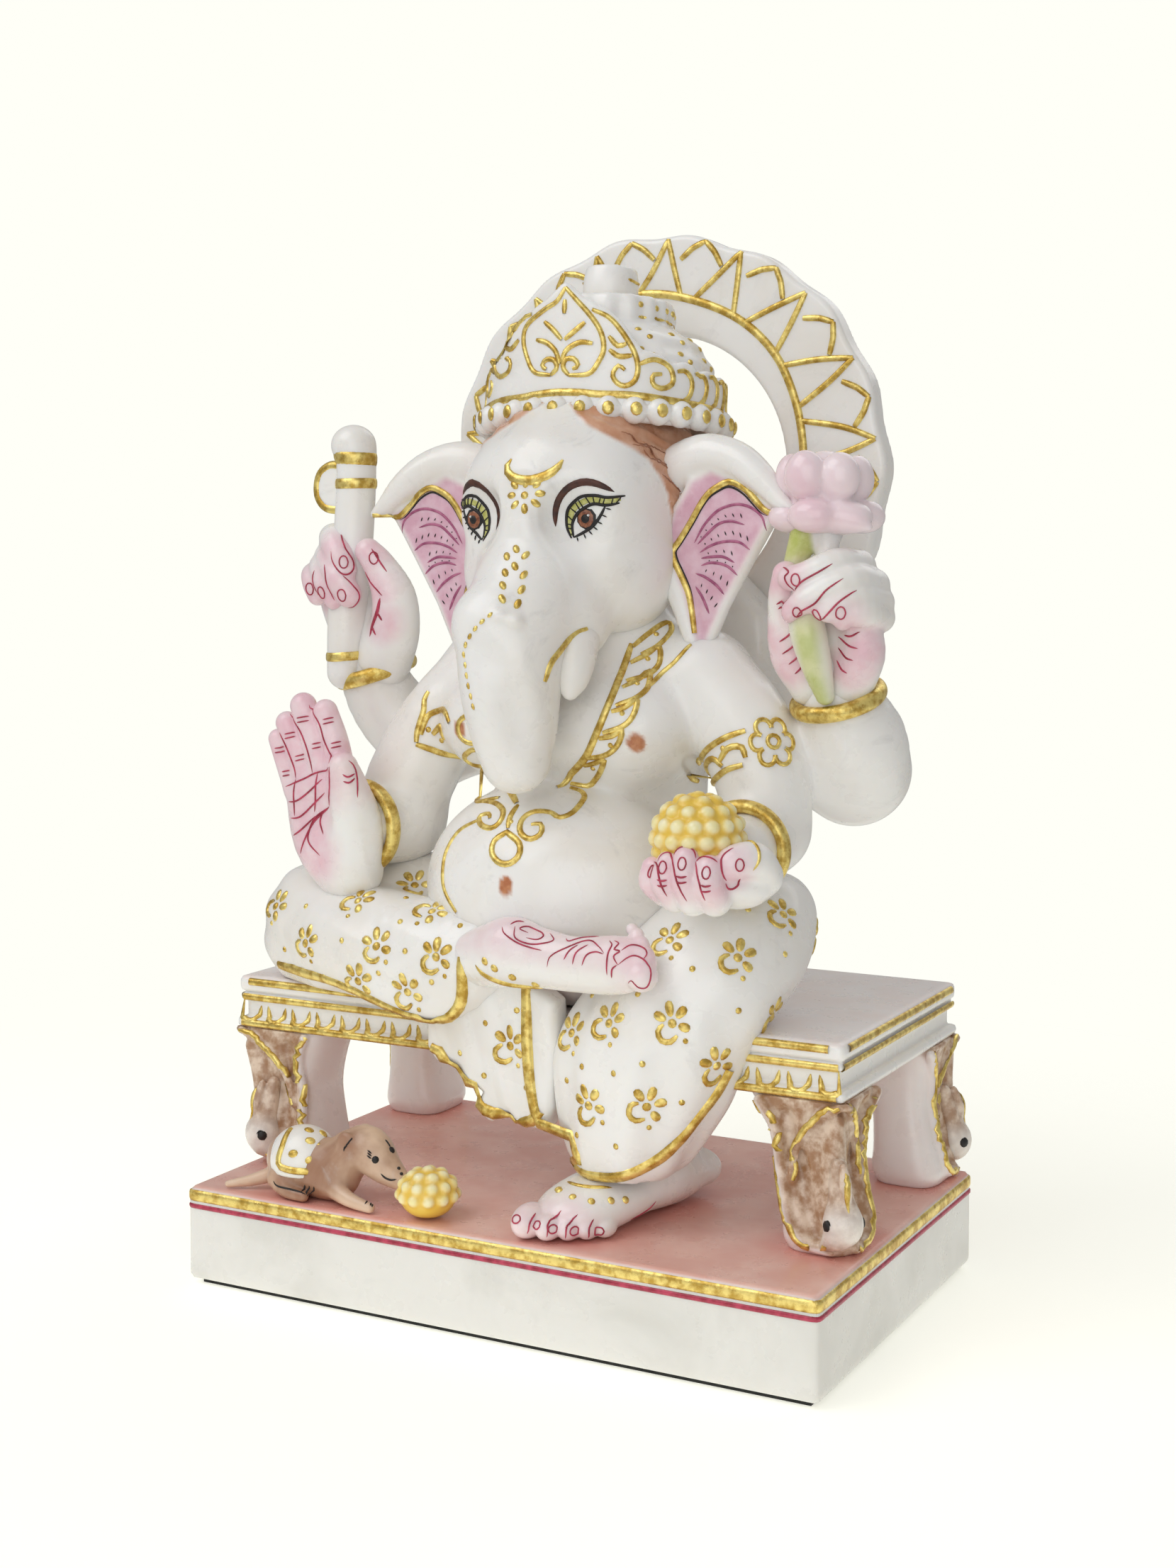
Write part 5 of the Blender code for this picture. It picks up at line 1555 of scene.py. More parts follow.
def paint_eyes():
    for side, flip in (("right", lambda paths: paths), ("left", lambda paths: mirrored(paths, FACE_MIDDLE))):
        iris, shine = flip([[(12.8, -23, 219.2), (13.7, -23, 220.1)]])[0]
        lines = on("carved_head")
        strokes(lines, flip([LID]), 2.0, 0.15, brush=0.7)
        lines.make(f"lid_green_{side}", LOOKS["green"], "painted_skin")
        lines = on("carved_head")
        lines.dot(iris, 6.6, 0.2, length=6.8)
        lines.make(f"iris_ring_{side}", LOOKS["black"], "painted_skin")
        lines = on("carved_head")
        lines.dot(iris, 5.6, 0.4, length=5.8)
        lines.make(f"iris_{side}", LOOKS["iris"], "painted_skin")
        lines = on("carved_head")
        lines.dot(iris, 3.3, 0.7)
        strokes(lines, flip(EYE_LINES), 1.0, 0.35, brush=0.7)
        strokes(lines, flip(upper_lashes() + LOWER_LASHES), 0.42, 0.4, brush=0.9, smooth=0)
        lines.make(f"eye_lines_{side}", LOOKS["black"], "painted_skin")
        # A small white dot on each pupil is a painted highlight.
        lines = on("carved_head")
        lines.dot(shine, 0.9, 0.9)
        lines.make(f"eye_shine_{side}", LOOKS["cloth"], "painted_skin")
        lines = on("carved_head")
        strokes(lines, flip([BROW]), 2.3, 0.3, brush=1.1)
        lines.make(f"brow_{side}", LOOKS["brown"], "hair_paint")


CRESCENT = [(-7.4, -28.3, 235.7), (-8.7, -28.9, 233.5), (-7, -30, 231.2), (-4, -30.3, 229.9), (0, -30.3, 229.7), (3.7, -29.5, 230.8), (6.5, -28, 232.8), (7.7, -26.6, 235.2)]
FOREHEAD_PETALS = [(-5.3, -30.5, 228.4), (-6, -30.8, 225.6), (-4.4, -31.7, 223), (-1.4, -31.8, 221.9), (1.4, -30.5, 223.4), (2.5, -30.2, 226), (1.6, -30.2, 228.6), (-1.8, -30.6, 229)]
TRUNK_PETALS = [
    (-4.2, -36.4, 208.8), (-2.1, -35.2, 211), (1, -35.4, 209.2), (-0.8, -38.1, 206.3), (-3, -39.5, 204.5),
    (2.2, -38.5, 203.9), (-2.3, -42, 201.1), (2.8, -40.7, 200), (-1.1, -44.4, 197.6), (2.8, -42.8, 196.2),
]
TRUNK_DASHES = [(-2.9, -47.4, 193.2), (-6, -48.7, 190.6), (-9.3, -48.4, 186.9), (-11.2, -47.5, 183.2), (-10.8, -47.5, 179.6), (-9.7, -48, 174.5), (-8.6, -47.9, 170.2), (-7.8, -47.2, 165.8)]


def gild_face():
    lines = on("carved_head")
    lines.ribbon(CRESCENT, 3.0, 0.7, brush=0.9)
    lines.dot((-1.8, -31, 225.6), 2.4, 0.55)
    for place in FOREHEAD_PETALS:
        along = np.array(place) - (-1.8, -31, 225.6)
        lines.dot(place, 2.1, 0.6, along=along, length=3.2)
    for i, place in enumerate(TRUNK_PETALS):
        lean = -0.5 if place[0] < 0 else 0.5
        lines.dot(place, 2.1, 0.6, along=(lean, 0, 1), length=3.4)
    steps = spaced(smooth_path(TRUNK_DASHES, 6), 2.9)
    for i in range(len(steps) - 1):
        lines.dot(steps[i], 1.3, 0.5, along=steps[i + 1] - steps[i], length=2.1)
    arc = [(9.4, -39.8, 175.3), (10.3, -37.8, 180.4), (11.2, -33.2, 184.2), (13, -28.8, 187.8), (15.5, -26.5, 189.2)]
    lines.ribbon(arc, 2.2, 0.6, brush=0.5)
    return lines.make("face_gold", LOOKS["gold"], "gold_leaf")


NECKLACE_INNER = [(18.6, -6.6, 184.5), (18.5, -12.1, 177.2), (18.6, -18.9, 170), (16.4, -22, 162), (11.6, -20, 154.1), (5.1, -15.9, 148.9), (1, -18, 144.5)]
LEFT_INNER = [(-21.5, -15, 166), (-22.6, -21, 161.5), (-22, -20.5, 155), (-19, -18, 149), (-14, -20, 144.6), (-7.2, -26.5, 140.6)]
LEAVES = [
    [(19.1, -6.8, 183.8), (21.9, -2.1, 187.5), (24.6, 4.5, 190.4), (26.8, 1.7, 187.8), (25.3, -3, 184.2), (21.5, -6.5, 181.4)],
    [(19.7, -9.6, 179.4), (23, -6.1, 181.6), (25.4, -3.2, 183.8), (27, -6, 179.4), (24.9, -9.8, 176.1), (20.6, -13.8, 174.3)],
    [(20.5, -16, 172.9), (23.3, -12.6, 174.7), (25.1, -8.5, 177.2), (26.6, -12.5, 172.9), (25, -16.8, 170.1), (20.4, -19.6, 168)],
    [(19.6, -20.7, 166.5), (23, -19.4, 167.6), (25.5, -16.8, 169.8), (25.6, -19.5, 165.5), (23.1, -21.1, 162.5), (17.6, -22, 160.6)],
    [(16.4, -21.9, 159), (20.5, -21.7, 159.9), (23.1, -21.1, 161.8), (21.8, -21, 157.6), (17.7, -20.3, 154.4), (11.2, -19.6, 153)],
    [(9.5, -17.7, 150.8), (13.5, -18.8, 151.8), (16.9, -19.7, 153.2), (12.5, -15.4, 147.7), (8.8, -14.8, 144.8), (4.1, -15.6, 145.4)],
    [(4.7, -16.9, 144.4), (8.4, -17.2, 143.5), (10.6, -19.8, 142), (10.4, -25.7, 138.8), (7.7, -28.5, 137.5), (4.4, -27.9, 138.7)],
    [(-22.6, -21.6, 164.5), (-26.4, -20, 163.4), (-28.6, -18, 161), (-28, -19, 157.6), (-25, -20, 156.2), (-22, -20, 157)],
    [(-21.6, -20, 154.6), (-26, -18, 154.6), (-29.6, -15, 152.6), (-28.6, -15, 149.2), (-24.6, -17, 147.6), (-19.4, -18, 149)],
    [(-18, -19, 147), (-23, -17, 146.4), (-27.4, -16, 144), (-26, -18, 140.4), (-21.6, -21, 139.2), (-15, -23, 141.6)],
]
SPIRALS = [
    [(-21.6, -21, 139.2), (-14.8, -25.2, 140), (-10.2, -28.6, 138.2), (-9.5, -31.5, 135.5), (-11.9, -32.6, 133.8), (-16.2, -30.8, 134.4), (-18, -28.2, 136.2), (-15, -28.6, 137.4), (-13.6, -30, 136)],
    [(7.7, -28.5, 137.5), (4, -28, 138.7), (-0.6, -28.9, 138.5), (-2.7, -31.2, 136.4), (-1.7, -33.8, 133.4), (1.8, -34.7, 131.9), (4.4, -33.2, 133.3), (3.4, -31.4, 135.7), (0.7, -32, 135.6)],
    [(-6.4, -27, 140), (-6.8, -30, 136.6), (-6, -33, 134)],
]
PENDANT = [(-5.9, -33.9, 133.2), (-9.1, -35.1, 130.9), (-9, -36.9, 127.7), (-6.1, -38.1, 125.4), (-2.6, -38.2, 125.3), (-0.2, -37.2, 127.6), (-1.1, -35.6, 130.7)]


def gild_necklace():
    lines = on("carved_body")
    strokes(lines, [NECKLACE_INNER, LEFT_INNER], 2.4, 0.6, brush=0.4)
    strokes(lines, LEAVES, 1.8, 0.6, brush=0.35)
    strokes(lines, SPIRALS, 1.9, 0.6, brush=0.5)
    lines.ribbon(PENDANT, 2.0, 0.6, closed=True)
    dots(lines, [(-6, -33, 137), (22.8, 0, 186), (23.4, -6, 180), (23.6, -13, 173.6), (22.6, -20, 166), (19.4, -20, 157.6), (12, -18, 149.6)], 1.7)
    thread = [(-17.9, -29.3, 135.3), (-24.2, -29.2, 131.9), (-27.2, -30.9, 126.5), (-27.3, -32.8, 121.4), (-25.9, -34.5, 116), (-21, -37, 110)]
    lines.ribbon(thread, 1.5, 0.5, brush=0.3)
    lines.ribbon([(34.9, -2.2, 184.5), (31.9, -5.3, 180.2), (28.3, -7.5, 176.5), (26.8, -11.9, 173.3)], 1.5, 0.5, brush=0.3)
    return lines.make("necklace_gold", LOOKS["gold"], "gold_leaf")


ARMLET_RIGHT = [
    [(31, 11.5, 144.8), (38, 1, 144.6), (43.5, -5.5, 147.4), (49, -9.4, 150.8), (54, -9, 152.4)],
    [(32.2, 10.1, 150), (39, -2, 153.6), (44.6, -8.4, 157.4), (49.5, -9.3, 160), (54, -8, 161.6)],
    [(38, 1, 147), (40.6, -4, 151.4), (44.4, -7.5, 153.6), (47.6, -9.2, 151.6)],
    [(46.8, -8.9, 153.2), (49.6, -9.6, 156.8), (53.4, -9, 157.2), (54.6, -9, 154.4)],
]
ARMLET_ROSE = (60.6, -4.6, 158.6)
ARMLET_LEFT = [
    [(-47.2, -8.9, 169.4), (-48, -9.8, 167.1), (-47.5, -10.9, 164.1), (-48.2, -12, 160.5), (-48.8, -12.7, 157.4), (-48.8, -13.1, 154.7)],
    [(-47.6, -12.5, 156.9), (-46.6, -11.6, 161), (-45.1, -11, 163), (-40.3, -12.7, 164.6), (-36, -18, 164), (-33.4, -19.5, 161.4)],
    [(-48.8, -12.9, 154), (-44.9, -11.4, 152.6), (-42.1, -9, 151.2), (-38, -5.2, 149.6), (-34, -1, 148.4)],
    [(-44, -12, 157), (-41, -12, 159.8), (-38, -10, 157)],
]


def gild_armlets():
    """The two upper arm bands, drawn in gold on the arms."""
    lines = on("carved_body")
    strokes(lines, ARMLET_RIGHT + ARMLET_LEFT, 2.0, 0.7, brush=0.3)
    spot, out = lines.skin.nearest(ARMLET_ROSE)
    side = np.cross((0, 0, 1), out)
    side /= np.linalg.norm(side)
    up = np.cross(out, side)
    lines.ribbon(round_path(spot, 1.8, 0, 315, up, side), 1.3, 0.6, closed=True, smooth=2)
    for turn in range(0, 360, 60):
        a = math.radians(turn)
        middle = spot + 4.7 * (math.cos(a) * side + math.sin(a) * up)
        lines.ribbon(round_path(middle, 2.4, turn - 125, turn + 125, up, side), 1.4, 0.6, smooth=2, brush=0)
    dots(lines, [(48, -9, 156.6), (-41.6, -11, 155), (-45.4, -12, 158.4)], 1.9)
    return lines.make("armlet_gold", LOOKS["gold"], "gold_leaf", ["armlet_left", "armlet_right"])


PALM_LINES = [
    [(-82.7, -34, 157.8), (-80, -34.3, 153.7), (-77.7, -34.1, 148.4), (-76.8, -34.2, 144.4)],
    [(-80.3, -31.9, 163.2), (-75.3, -34.7, 159.3), (-72.5, -34.8, 154), (-70.6, -34.6, 146.5)],
    [(-72.6, -33.2, 166.1), (-68.1, -34.9, 161.3), (-66, -34.8, 155.6), (-62.9, -37.2, 149.8)],
    [(-81.5, -32.8, 141.8), (-77.1, -34.2, 143.3), (-73.2, -34.7, 144.8), (-69, -34.5, 146.7), (-62.9, -37.4, 148.7)],
    [(-80.6, -33, 137.4), (-76.4, -34.2, 138.1), (-71.7, -34.6, 141.1), (-67.1, -34.6, 144.9)],
    [(-80, -33, 132.6), (-75.7, -33.7, 133.4), (-70.6, -33.9, 137.5), (-66.1, -34.9, 141)],
    [(-79.4, -33, 127.4), (-75.8, -33.6, 129.3), (-70.3, -33.6, 133.9)],
    [(-77, -33, 122), (-75.1, -33.5, 124.9), (-70.9, -33.6, 132.1), (-64.3, -35.2, 137.2)],
    [(-64.3, -35.2, 137.2), (-70.3, -33.6, 133.5), (-72.7, -33.7, 128.9), (-72.4, -33.8, 125.8), (-68.4, -34.2, 122.5)],
    [(-67.4, -33.9, 135.5), (-68.6, -33.7, 132.3), (-67.3, -34.1, 128.8)],
    [(-76.8, -34.2, 144.4), (-77.5, -34.3, 139.9), (-77.8, -33.5, 133.5)],
    [(-68.8, -34.5, 146.6), (-69.5, -34.7, 141.2), (-70.6, -33.6, 135)],
    [(-64.3, -35.2, 137.3), (-63.2, -36.5, 142.6), (-62.3, -37.6, 149)],
    [(-57.1, -35.8, 150.9), (-55.6, -34.4, 148.1), (-54.3, -35.4, 140.3)],
    [(-57.9, -37.7, 147), (-56.6, -36.9, 146.2), (-55.3, -35, 147.1)],
    [(-57.7, -37.7, 145), (-56.2, -36.8, 144.6), (-55.1, -35.3, 145.9)],
]
PALM_CREASES = [
    [(-66.6, -35, 162.1), (-64, -33.1, 162.7)], [(-64, -34.8, 155.3), (-61.5, -32.9, 155.9)],
    [(-75.9, -34.9, 162.2), (-72, -34, 162.9)], [(-70.7, -34.7, 154.8), (-68.3, -33.4, 155.4)],
    [(-80.6, -34.2, 157.3), (-77.7, -32.9, 157.9)], [(-77.1, -34.2, 150.9), (-74.3, -33.3, 151.7)],
    [(-84.9, -33.5, 152.9), (-81.1, -33.9, 153.6)], [(-82.5, -33.2, 146.1), (-79.8, -32.9, 146.7)],
]


def paint_palm():
    lines = on("open_hand")
    strokes(lines, PALM_LINES, 0.6, 0.25)
    for path in PALM_CREASES:
        for drop in (0.0, 1.3):
            lines.ribbon([(x, y, z - drop) for x, y, z in path], 0.5, 0.25, smooth=0)
    return lines.make("palm_lines", LOOKS["crimson"], "painted_skin")


def nail(lines, place, wide=1.5, tall=2.0, toward=None):
    """A nail drawn as a small closed oval on the skin."""
    spot, out = lines.skin.nearest(place)
    up = np.array([0.0, 0.0, 1.0]) - out * out[2]
    up /= max(np.linalg.norm(up), 1e-6)
    side = np.cross(up, out)
    path = [spot + side * wide * math.cos(a) + up * tall * math.sin(a) for a in np.linspace(0, math.tau, 9)[:-1]]
    lines.ribbon(path, 0.45, 0.25, closed=True, smooth=2)


CUPPED_LINES = [
    [(45.2, -46, 130.2), (47.4, -48.9, 129.9), (48.5, -50.1, 127.4), (49.3, -50, 124.5), (50.2, -48.5, 121.7)],
    [(47.4, -48.5, 130.6), (48.5, -47.7, 132.5), (50.1, -47.1, 132.9), (51.2, -48.1, 132), (53, -50.5, 129.8), (54.5, -51.3, 125.6), (56.1, -49.1, 121)],
    [(52.2, -48.7, 132.6), (53.3, -48.2, 134.3), (55.2, -47.7, 134.8), (57, -47.5, 134), (58, -47.9, 132)],
    [(58.1, -48.3, 131.3), (58.9, -49.3, 129), (60.2, -50.3, 125.9), (61.1, -48.8, 121.5)],
    [(58.2, -48.3, 131.3), (59, -47.1, 132.2), (61.2, -47.3, 132.5), (63.5, -46.7, 131.2)],
    [(66.4, -43, 134.4), (65.5, -44, 134), (64.1, -45.4, 132.3), (64.5, -46.4, 129.8), (64.8, -46, 127.8), (65.2, -44.7, 126.3)],
    [(65, -44.8, 125.8), (65.2, -44.4, 124.5), (66.2, -43.4, 124.1), (67.3, -42.3, 125.1), (68.2, -42.9, 126.9)],
]
CUPPED_NAILS = [(45.2, -47.4, 127.6), (49.3, -49.5, 129.3), (55.3, -50.5, 130.8), (61.7, -49.6, 128.8), (68.8, -44.7, 130.6)]


def paint_cupped_hand():
    lines = on("cupped_hand")
    strokes(lines, CUPPED_LINES, 0.6, 0.25)
    for place in CUPPED_NAILS:
        nail(lines, place, 1.1, 1.7)
    for x, y, z in CUPPED_NAILS[1:4]:
        for drop in (3.4, 4.8):
            lines.ribbon([(x - 1.2, y, z - drop + 0.3), (x, y - 0.4, z - drop), (x + 1.4, y, z - drop + 0.3)], 0.6, 0.28)
    lines.make("cupped_hand_lines", LOOKS["crimson"], "painted_skin")
    gold = on("cupped_hand")
    gold.ribbon([(66, -36, 135.8), (69.4, -38.4, 135.6), (72, -40.2, 134.1), (72.6, -41.3, 131.6), (71.4, -42.2, 129.1)], 1.0, 0.35)
    return gold.make("cupped_hand_gold", LOOKS["gold"], "gold_leaf")


AXE_HAND_LINES = [
    [(-81.6, -2.5, 218.1), (-78.9, -7.4, 215.7), (-75.8, -9.8, 211.5), (-73.9, -8.3, 207.3), (-73.8, -9.7, 204.3), (-75.5, -11.9, 203.8), (-78.4, -12.4, 207), (-79.3, -12.2, 210.6)],
    [(-75.4, -12, 203.4), (-72.8, -10.1, 200.2), (-71.7, -8.6, 197.2), (-73.2, -8.6, 194.5), (-78, -7.6, 193.4)],
    [(-81.9, -11.9, 206.7), (-80.9, -12.8, 203.1), (-80.2, -10.8, 197.8), (-79.6, -10.2, 195.8)],
    [(-86.8, -10.2, 204.9), (-87.5, -9.9, 201.3), (-87, -8.1, 197.1)],
    [(-67.6, -8.1, 211.4), (-64.6, -7.9, 207.3), (-62.6, -7.3, 204.4)],
    [(-70.4, -7.6, 204.6), (-68.4, -8, 201.6), (-65.5, -8.2, 199), (-63.8, -8.1, 197.3)],
]
AXE_NAILS = [(-75.6, -11.1, 207.4), (-75.4, -12.4, 197.4), (-83.8, -11.2, 198.1), (-89.6, -9.1, 199.2), (-66.5, -8.5, 208.6)]


def paint_axe_hand():
    lines = on("axe_hand")
    strokes(lines, AXE_HAND_LINES, 0.6, 0.25)
    for place in AXE_NAILS:
        nail(lines, place, 1.4, 1.9)
    palm = [(-64.6, -8.1, 196.7), (-66.3, -7.2, 192.5), (-69.1, -5.6, 188.2), (-70.4, -5.2, 185)]
    lines.ribbon(palm, 1.5, 0.35)
    for x, y, z in palm[1:3]:
        lines.ribbon([(x, y, z), (x + 1.8, y, z - 2.6)], 0.8, 0.3, smooth=0)
    for z in (193.4, 190.4, 187.0):
        lines.ribbon([(-83.4, -3, z), (-86.6, -2.4, z - 2.2)], 0.7, 0.3, smooth=0)
    return lines.make("axe_hand_lines", LOOKS["crimson"], "painted_skin")


LOTUS_HAND_LINES = [
    [(68.7, -10, 199.7), (71.5, -11, 202.2), (76, -10.4, 204.8), (79, -8, 207)],
    [(70.2, -11, 190.8), (71.6, -12, 194), (75.6, -11.8, 196.6), (78.7, -11.4, 200.1), (82.4, -9, 203)],
    [(76.6, -11.4, 191), (79.1, -11.4, 193.8), (82.1, -10.5, 197.1), (85.4, -7.2, 199.8)],
    [(64.3, -6.8, 206), (67.3, -10.1, 204.8), (66.2, -10.1, 203.5), (66.8, -10.1, 201.8), (68.7, -9.5, 199.7)],
    [(61.6, -4.6, 196), (64, -7, 196.6), (66.4, -8, 197.6)],
    [(62, -5, 194.6), (64.2, -7, 195.2), (66.4, -8, 196)],
]
LOTUS_PALM = [
    [(66.3, -2.9, 190.2), (64.7, -3.6, 187.6), (62, -3.7, 185.7)], [(67.3, -1.9, 189.1), (65.9, -2.6, 185), (62.6, -3.1, 182.4)],
    [(68, -1.1, 185.8), (66.7, -1.8, 181.9), (64.3, -2.5, 179.6)], [(68.3, -0.9, 181.6), (67.5, -1.5, 178.8), (65.8, -1.8, 177)],
    [(79.6, -2.9, 187.8), (82.4, -3.2, 187.6), (84.8, -2.4, 188.9)], [(77.6, -1, 187.3), (81.5, -3.1, 185.1), (84.4, -2.2, 184.4)],
    [(77.5, -0.8, 184.4), (80.4, -2.8, 181.8), (83, -2.7, 181.2)], [(77.2, -1.2, 181.1), (79, -2.1, 178.6), (81, -2, 177.6)],
    [(70, -2, 189), (71.2, -1.4, 183.6), (72.4, -1.4, 178)],
]
LOTUS_NAILS = [(69.6, -11.1, 202.6), (70.4, -11.4, 193.9), (75.7, -10.7, 193.2), (82, -9.8, 194)]


def paint_lotus_hand():
    lines = on("lotus_hand")
    strokes(lines, LOTUS_HAND_LINES, 0.6, 0.25)
    strokes(lines, LOTUS_PALM, 0.6, 0.25, smooth=4)
    for place in LOTUS_NAILS:
        nail(lines, place, 1.3, 1.8)
    return lines.make("lotus_hand_lines", LOOKS["crimson"], "painted_skin")


FOLDED_FOOT_LINES = [
    [(7.4, -45.4, 108.1), (4.9, -45.7, 109.1), (6.7, -43.9, 109.6), (10.3, -43.9, 108.5), (11.9, -45.2, 107.7), (10.7, -46.3, 106.9), (7.4, -46.7, 107.2)],
    [(3.4, -45.6, 109.6), (4.6, -47.7, 107.1), (7.9, -47.4, 105.8), (11.7, -47.1, 105.9), (15.4, -46, 107), (13, -43.6, 108.4)],
    [(0, -46.7, 109.5), (1.4, -47.9, 108), (5.2, -48.2, 106), (9.3, -47.7, 104.8), (13, -48, 104.4)],
    [(2, -45.8, 110.1), (3.2, -44, 110.8), (4.8, -43, 110.6)],
    [(18.5, -44.7, 107.6), (20.1, -45.8, 107.2), (23.5, -43.9, 108.1), (28, -43.6, 108.6)],
    [(15.1, -49, 100.3), (16, -48.6, 103.2), (20.2, -47.5, 105.7), (25.8, -45.7, 107.8), (29.8, -47.7, 107), (32.1, -48.9, 105.5)],
    [(20.2, -49, 102.7), (21.4, -48, 105.1), (23.4, -47, 106.7)],
    [(23, -49.4, 101.8), (23.7, -48.4, 105), (26.5, -47.1, 107)],
    [(25.9, -49.6, 101.8), (27, -48.9, 104.6), (29.5, -48.6, 105.6), (32, -49, 105.3)],
    [(32.2, -46.1, 108.4), (33.6, -47.3, 107.6), (33.3, -48.6, 105.9), (33.3, -49.5, 103.8), (33.4, -49.7, 100)],
    [(33.6, -46, 108.5), (35.3, -46.7, 108), (34.7, -48.1, 106.7), (36.4, -48.1, 106.3), (35, -49, 105), (36.4, -49.4, 102.9)],
    [(36.4, -49.4, 102.9), (38.6, -48.3, 104.8), (40.3, -47.4, 105.4), (42.5, -46.7, 104.5), (44, -46.4, 102.7), (45, -47.6, 100), (44, -48, 97.5), (42.3, -48.9, 97.5), (40.5, -49.5, 99.2), (39, -48.6, 98.1)],
    [(36.7, -47.9, 106.5), (38.7, -45.9, 107.8), (41.7, -45.2, 107.2), (43, -45.7, 105.9), (42.5, -46.7, 104.5)],
    [(36.2, -49.4, 102.9), (34.9, -49.7, 101.7), (34.6, -49.4, 99.3)],
]


def paint_folded_foot():
    lines = on("folded_foot_skin")
    strokes(lines, FOLDED_FOOT_LINES, 0.5, 0.25)
    lines.make("folded_foot_lines", LOOKS["crimson"], "painted_skin")
    gold = on("folded_foot_skin")
    gold.ribbon([(-8.5, -46.6, 98.3), (-6.3, -46.4, 96.1), (-2, -46, 94.4), (4, -45, 92.6), (11, -44.4, 91.6)], 2.0, 0.6)
    dots(gold, [(-4.4, -48, 100), (-1.4, -48.5, 98.3), (3.5, -47.3, 96.1), (9.8, -45.8, 94.5)], 2.6, 0.6)
    return gold.make("folded_foot_gold", LOOKS["gold"], "gold_leaf")


STANDING_FOOT_LINES = [
    [(15.7, -55.4, 36.5), (14.6, -57.8, 34), (14, -58.1, 31.4)],
    [(21.4, -53.8, 37.9), (19.9, -56.9, 34.5), (19.4, -57.2, 31)],
    [(26.3, -52.4, 36.8), (24.6, -55, 34.2), (23.7, -54.6, 30.4)],
    [(29.9, -49.6, 35), (29, -51.1, 32.7), (28.4, -50.6, 30)],
    [(37.6, -28.6, 35), (35.8, -31, 32.6), (33.6, -36, 31)],
]
STANDING_NAILS = [(11.6, -58.5, 34.4), (16.8, -57.5, 33.6), (21.6, -56.5, 32.9), (26.4, -53.4, 32.1), (30.3, -48.6, 31.4)]


def paint_standing_foot():
    lines = on("standing_foot_skin")
    strokes(lines, STANDING_FOOT_LINES, 0.55, 0.25)
    for place in STANDING_NAILS:
        nail(lines, place, 1.5, 1.2)
    lines.make("standing_foot_lines", LOOKS["crimson"], "painted_skin")
    gold = on("standing_foot_skin")
    gold.ribbon([(16.6, -42, 43), (20.7, -43.7, 41.9), (25.1, -43.3, 41.5), (30, -40, 41)], 1.4, 0.4)
    dots(gold, [(16, -46, 41.6), (17.2, -46.7, 40.6), (22.5, -48.6, 40.2), (27.7, -47.3, 39.2), (31.4, -43.1, 38.5), (33.7, -39.3, 37.9)], 2.3, 0.5)
    return gold.make("standing_foot_gold", LOOKS["gold"], "gold_leaf")


FOLDED_MOTIFS = [
    (-70.5, -38.8, 97.5, 10), (-43, -43.1, 99.8, -15), (-23.1, -43.4, 98.6, 0), (-55.7, -33.5, 110.3, 20), (-87.5, -27.4, 104.5, 30),
    (-49.1, -13.8, 112.6, -30), (-29.6, -35.2, 109.6, 40), (-50, -42, 89, 15), (-33, -41, 88, -10), (-88, -5, 100, 0), (-72, -12, 112, 20), (-74, 14, 100, 0), (-50, 18, 100, 20), (-30, 22, 100, -20),
]
FOLDED_SEEDS = [
    (-73.7, -33.2, 107), (-55.5, -42.1, 100.2), (-33.4, -43.2, 99.3), (-37.1, -39.9, 106.8), (-18.3, -38.4, 107), (-42.1, -42, 92.7),
    (-60, -19.2, 114.2), (-41.3, -30.4, 111.8), (-39.9, -11.9, 109.7), (-82.7, -32.3, 93.6), (-24.7, -43.3, 91.4), (-64.5, -38.5, 88),
]
HANGING_MOTIFS = [
    (42.9, -31.9, 107.2, 0), (61.7, -29.6, 103.8, 20), (48.4, -41.7, 87.3, -15), (30.2, -42.4, 85.6, 10), (62, -20, 89.4, 0), (66.5, -10.4, 112.7, 30),
    (42, -43.6, 64.9, 20), (57.5, -34.6, 76, -20), (16.7, -38.3, 80.7, 0), (24.8, -43.7, 63.1, -20), (64, 8, 104, 10), (56, 24, 100, -10),
]
HANGING_SEEDS = [
    (51.2, -34.4, 100), (69.8, -17.1, 103.3), (61.4, 10.4, 95.9), (59.3, -17.7, 114.5), (37.7, -41.8, 94.6), (63.3, -32.8, 90.5), (40.8, -43.6, 76.5),
    (33, -45.5, 73.1), (50.6, -40.3, 66.4), (33.4, -44.5, 53.5), (20.5, -35.2, 91.2), (22.7, -43.8, 73.4), (16.4, -39.1, 68.1), (21.3, -40.5, 54.3),
]
APRON_SEEDS = [(-11.1, -37.2, 80.2), (-19.6, -36.7, 70.8), (-11.9, -36.5, 65.3), (1.6, -36.7, 63.5), (3.1, -36.8, 72.6), (-1, -37.2, 84.8)]
APRON_HEM = [
    (-28.6, -36.9, 71.4), (-25.6, -37, 70.4), (-24.4, -37, 67.2), (-20.6, -36.1, 65), (-17.6, -36.4, 62.8), (-15.1, -36.6, 61.6), (-14.4, -36.3, 58),
    (-9.8, -36.7, 55.2), (-5.7, -35.9, 55.1), (-1.4, -35.5, 53.2), (3.8, -36.7, 54.9), (6.2, -37.3, 58),
]
FOLDED_BORDER = [
    (-9.5, -38.6, 104.8), (-13.3, -41.2, 102.9), (-14.5, -43.1, 99.6), (-15, -42.4, 93), (-16.5, -41, 86.4), (-21, -40, 82),
    (-28, -40, 80.6), (-35, -39.5, 81.6), (-43, -38.5, 84.4), (-52, -37.5, 87.4), (-62, -37, 88), (-74, -34, 88), (-86, -28, 89),
]
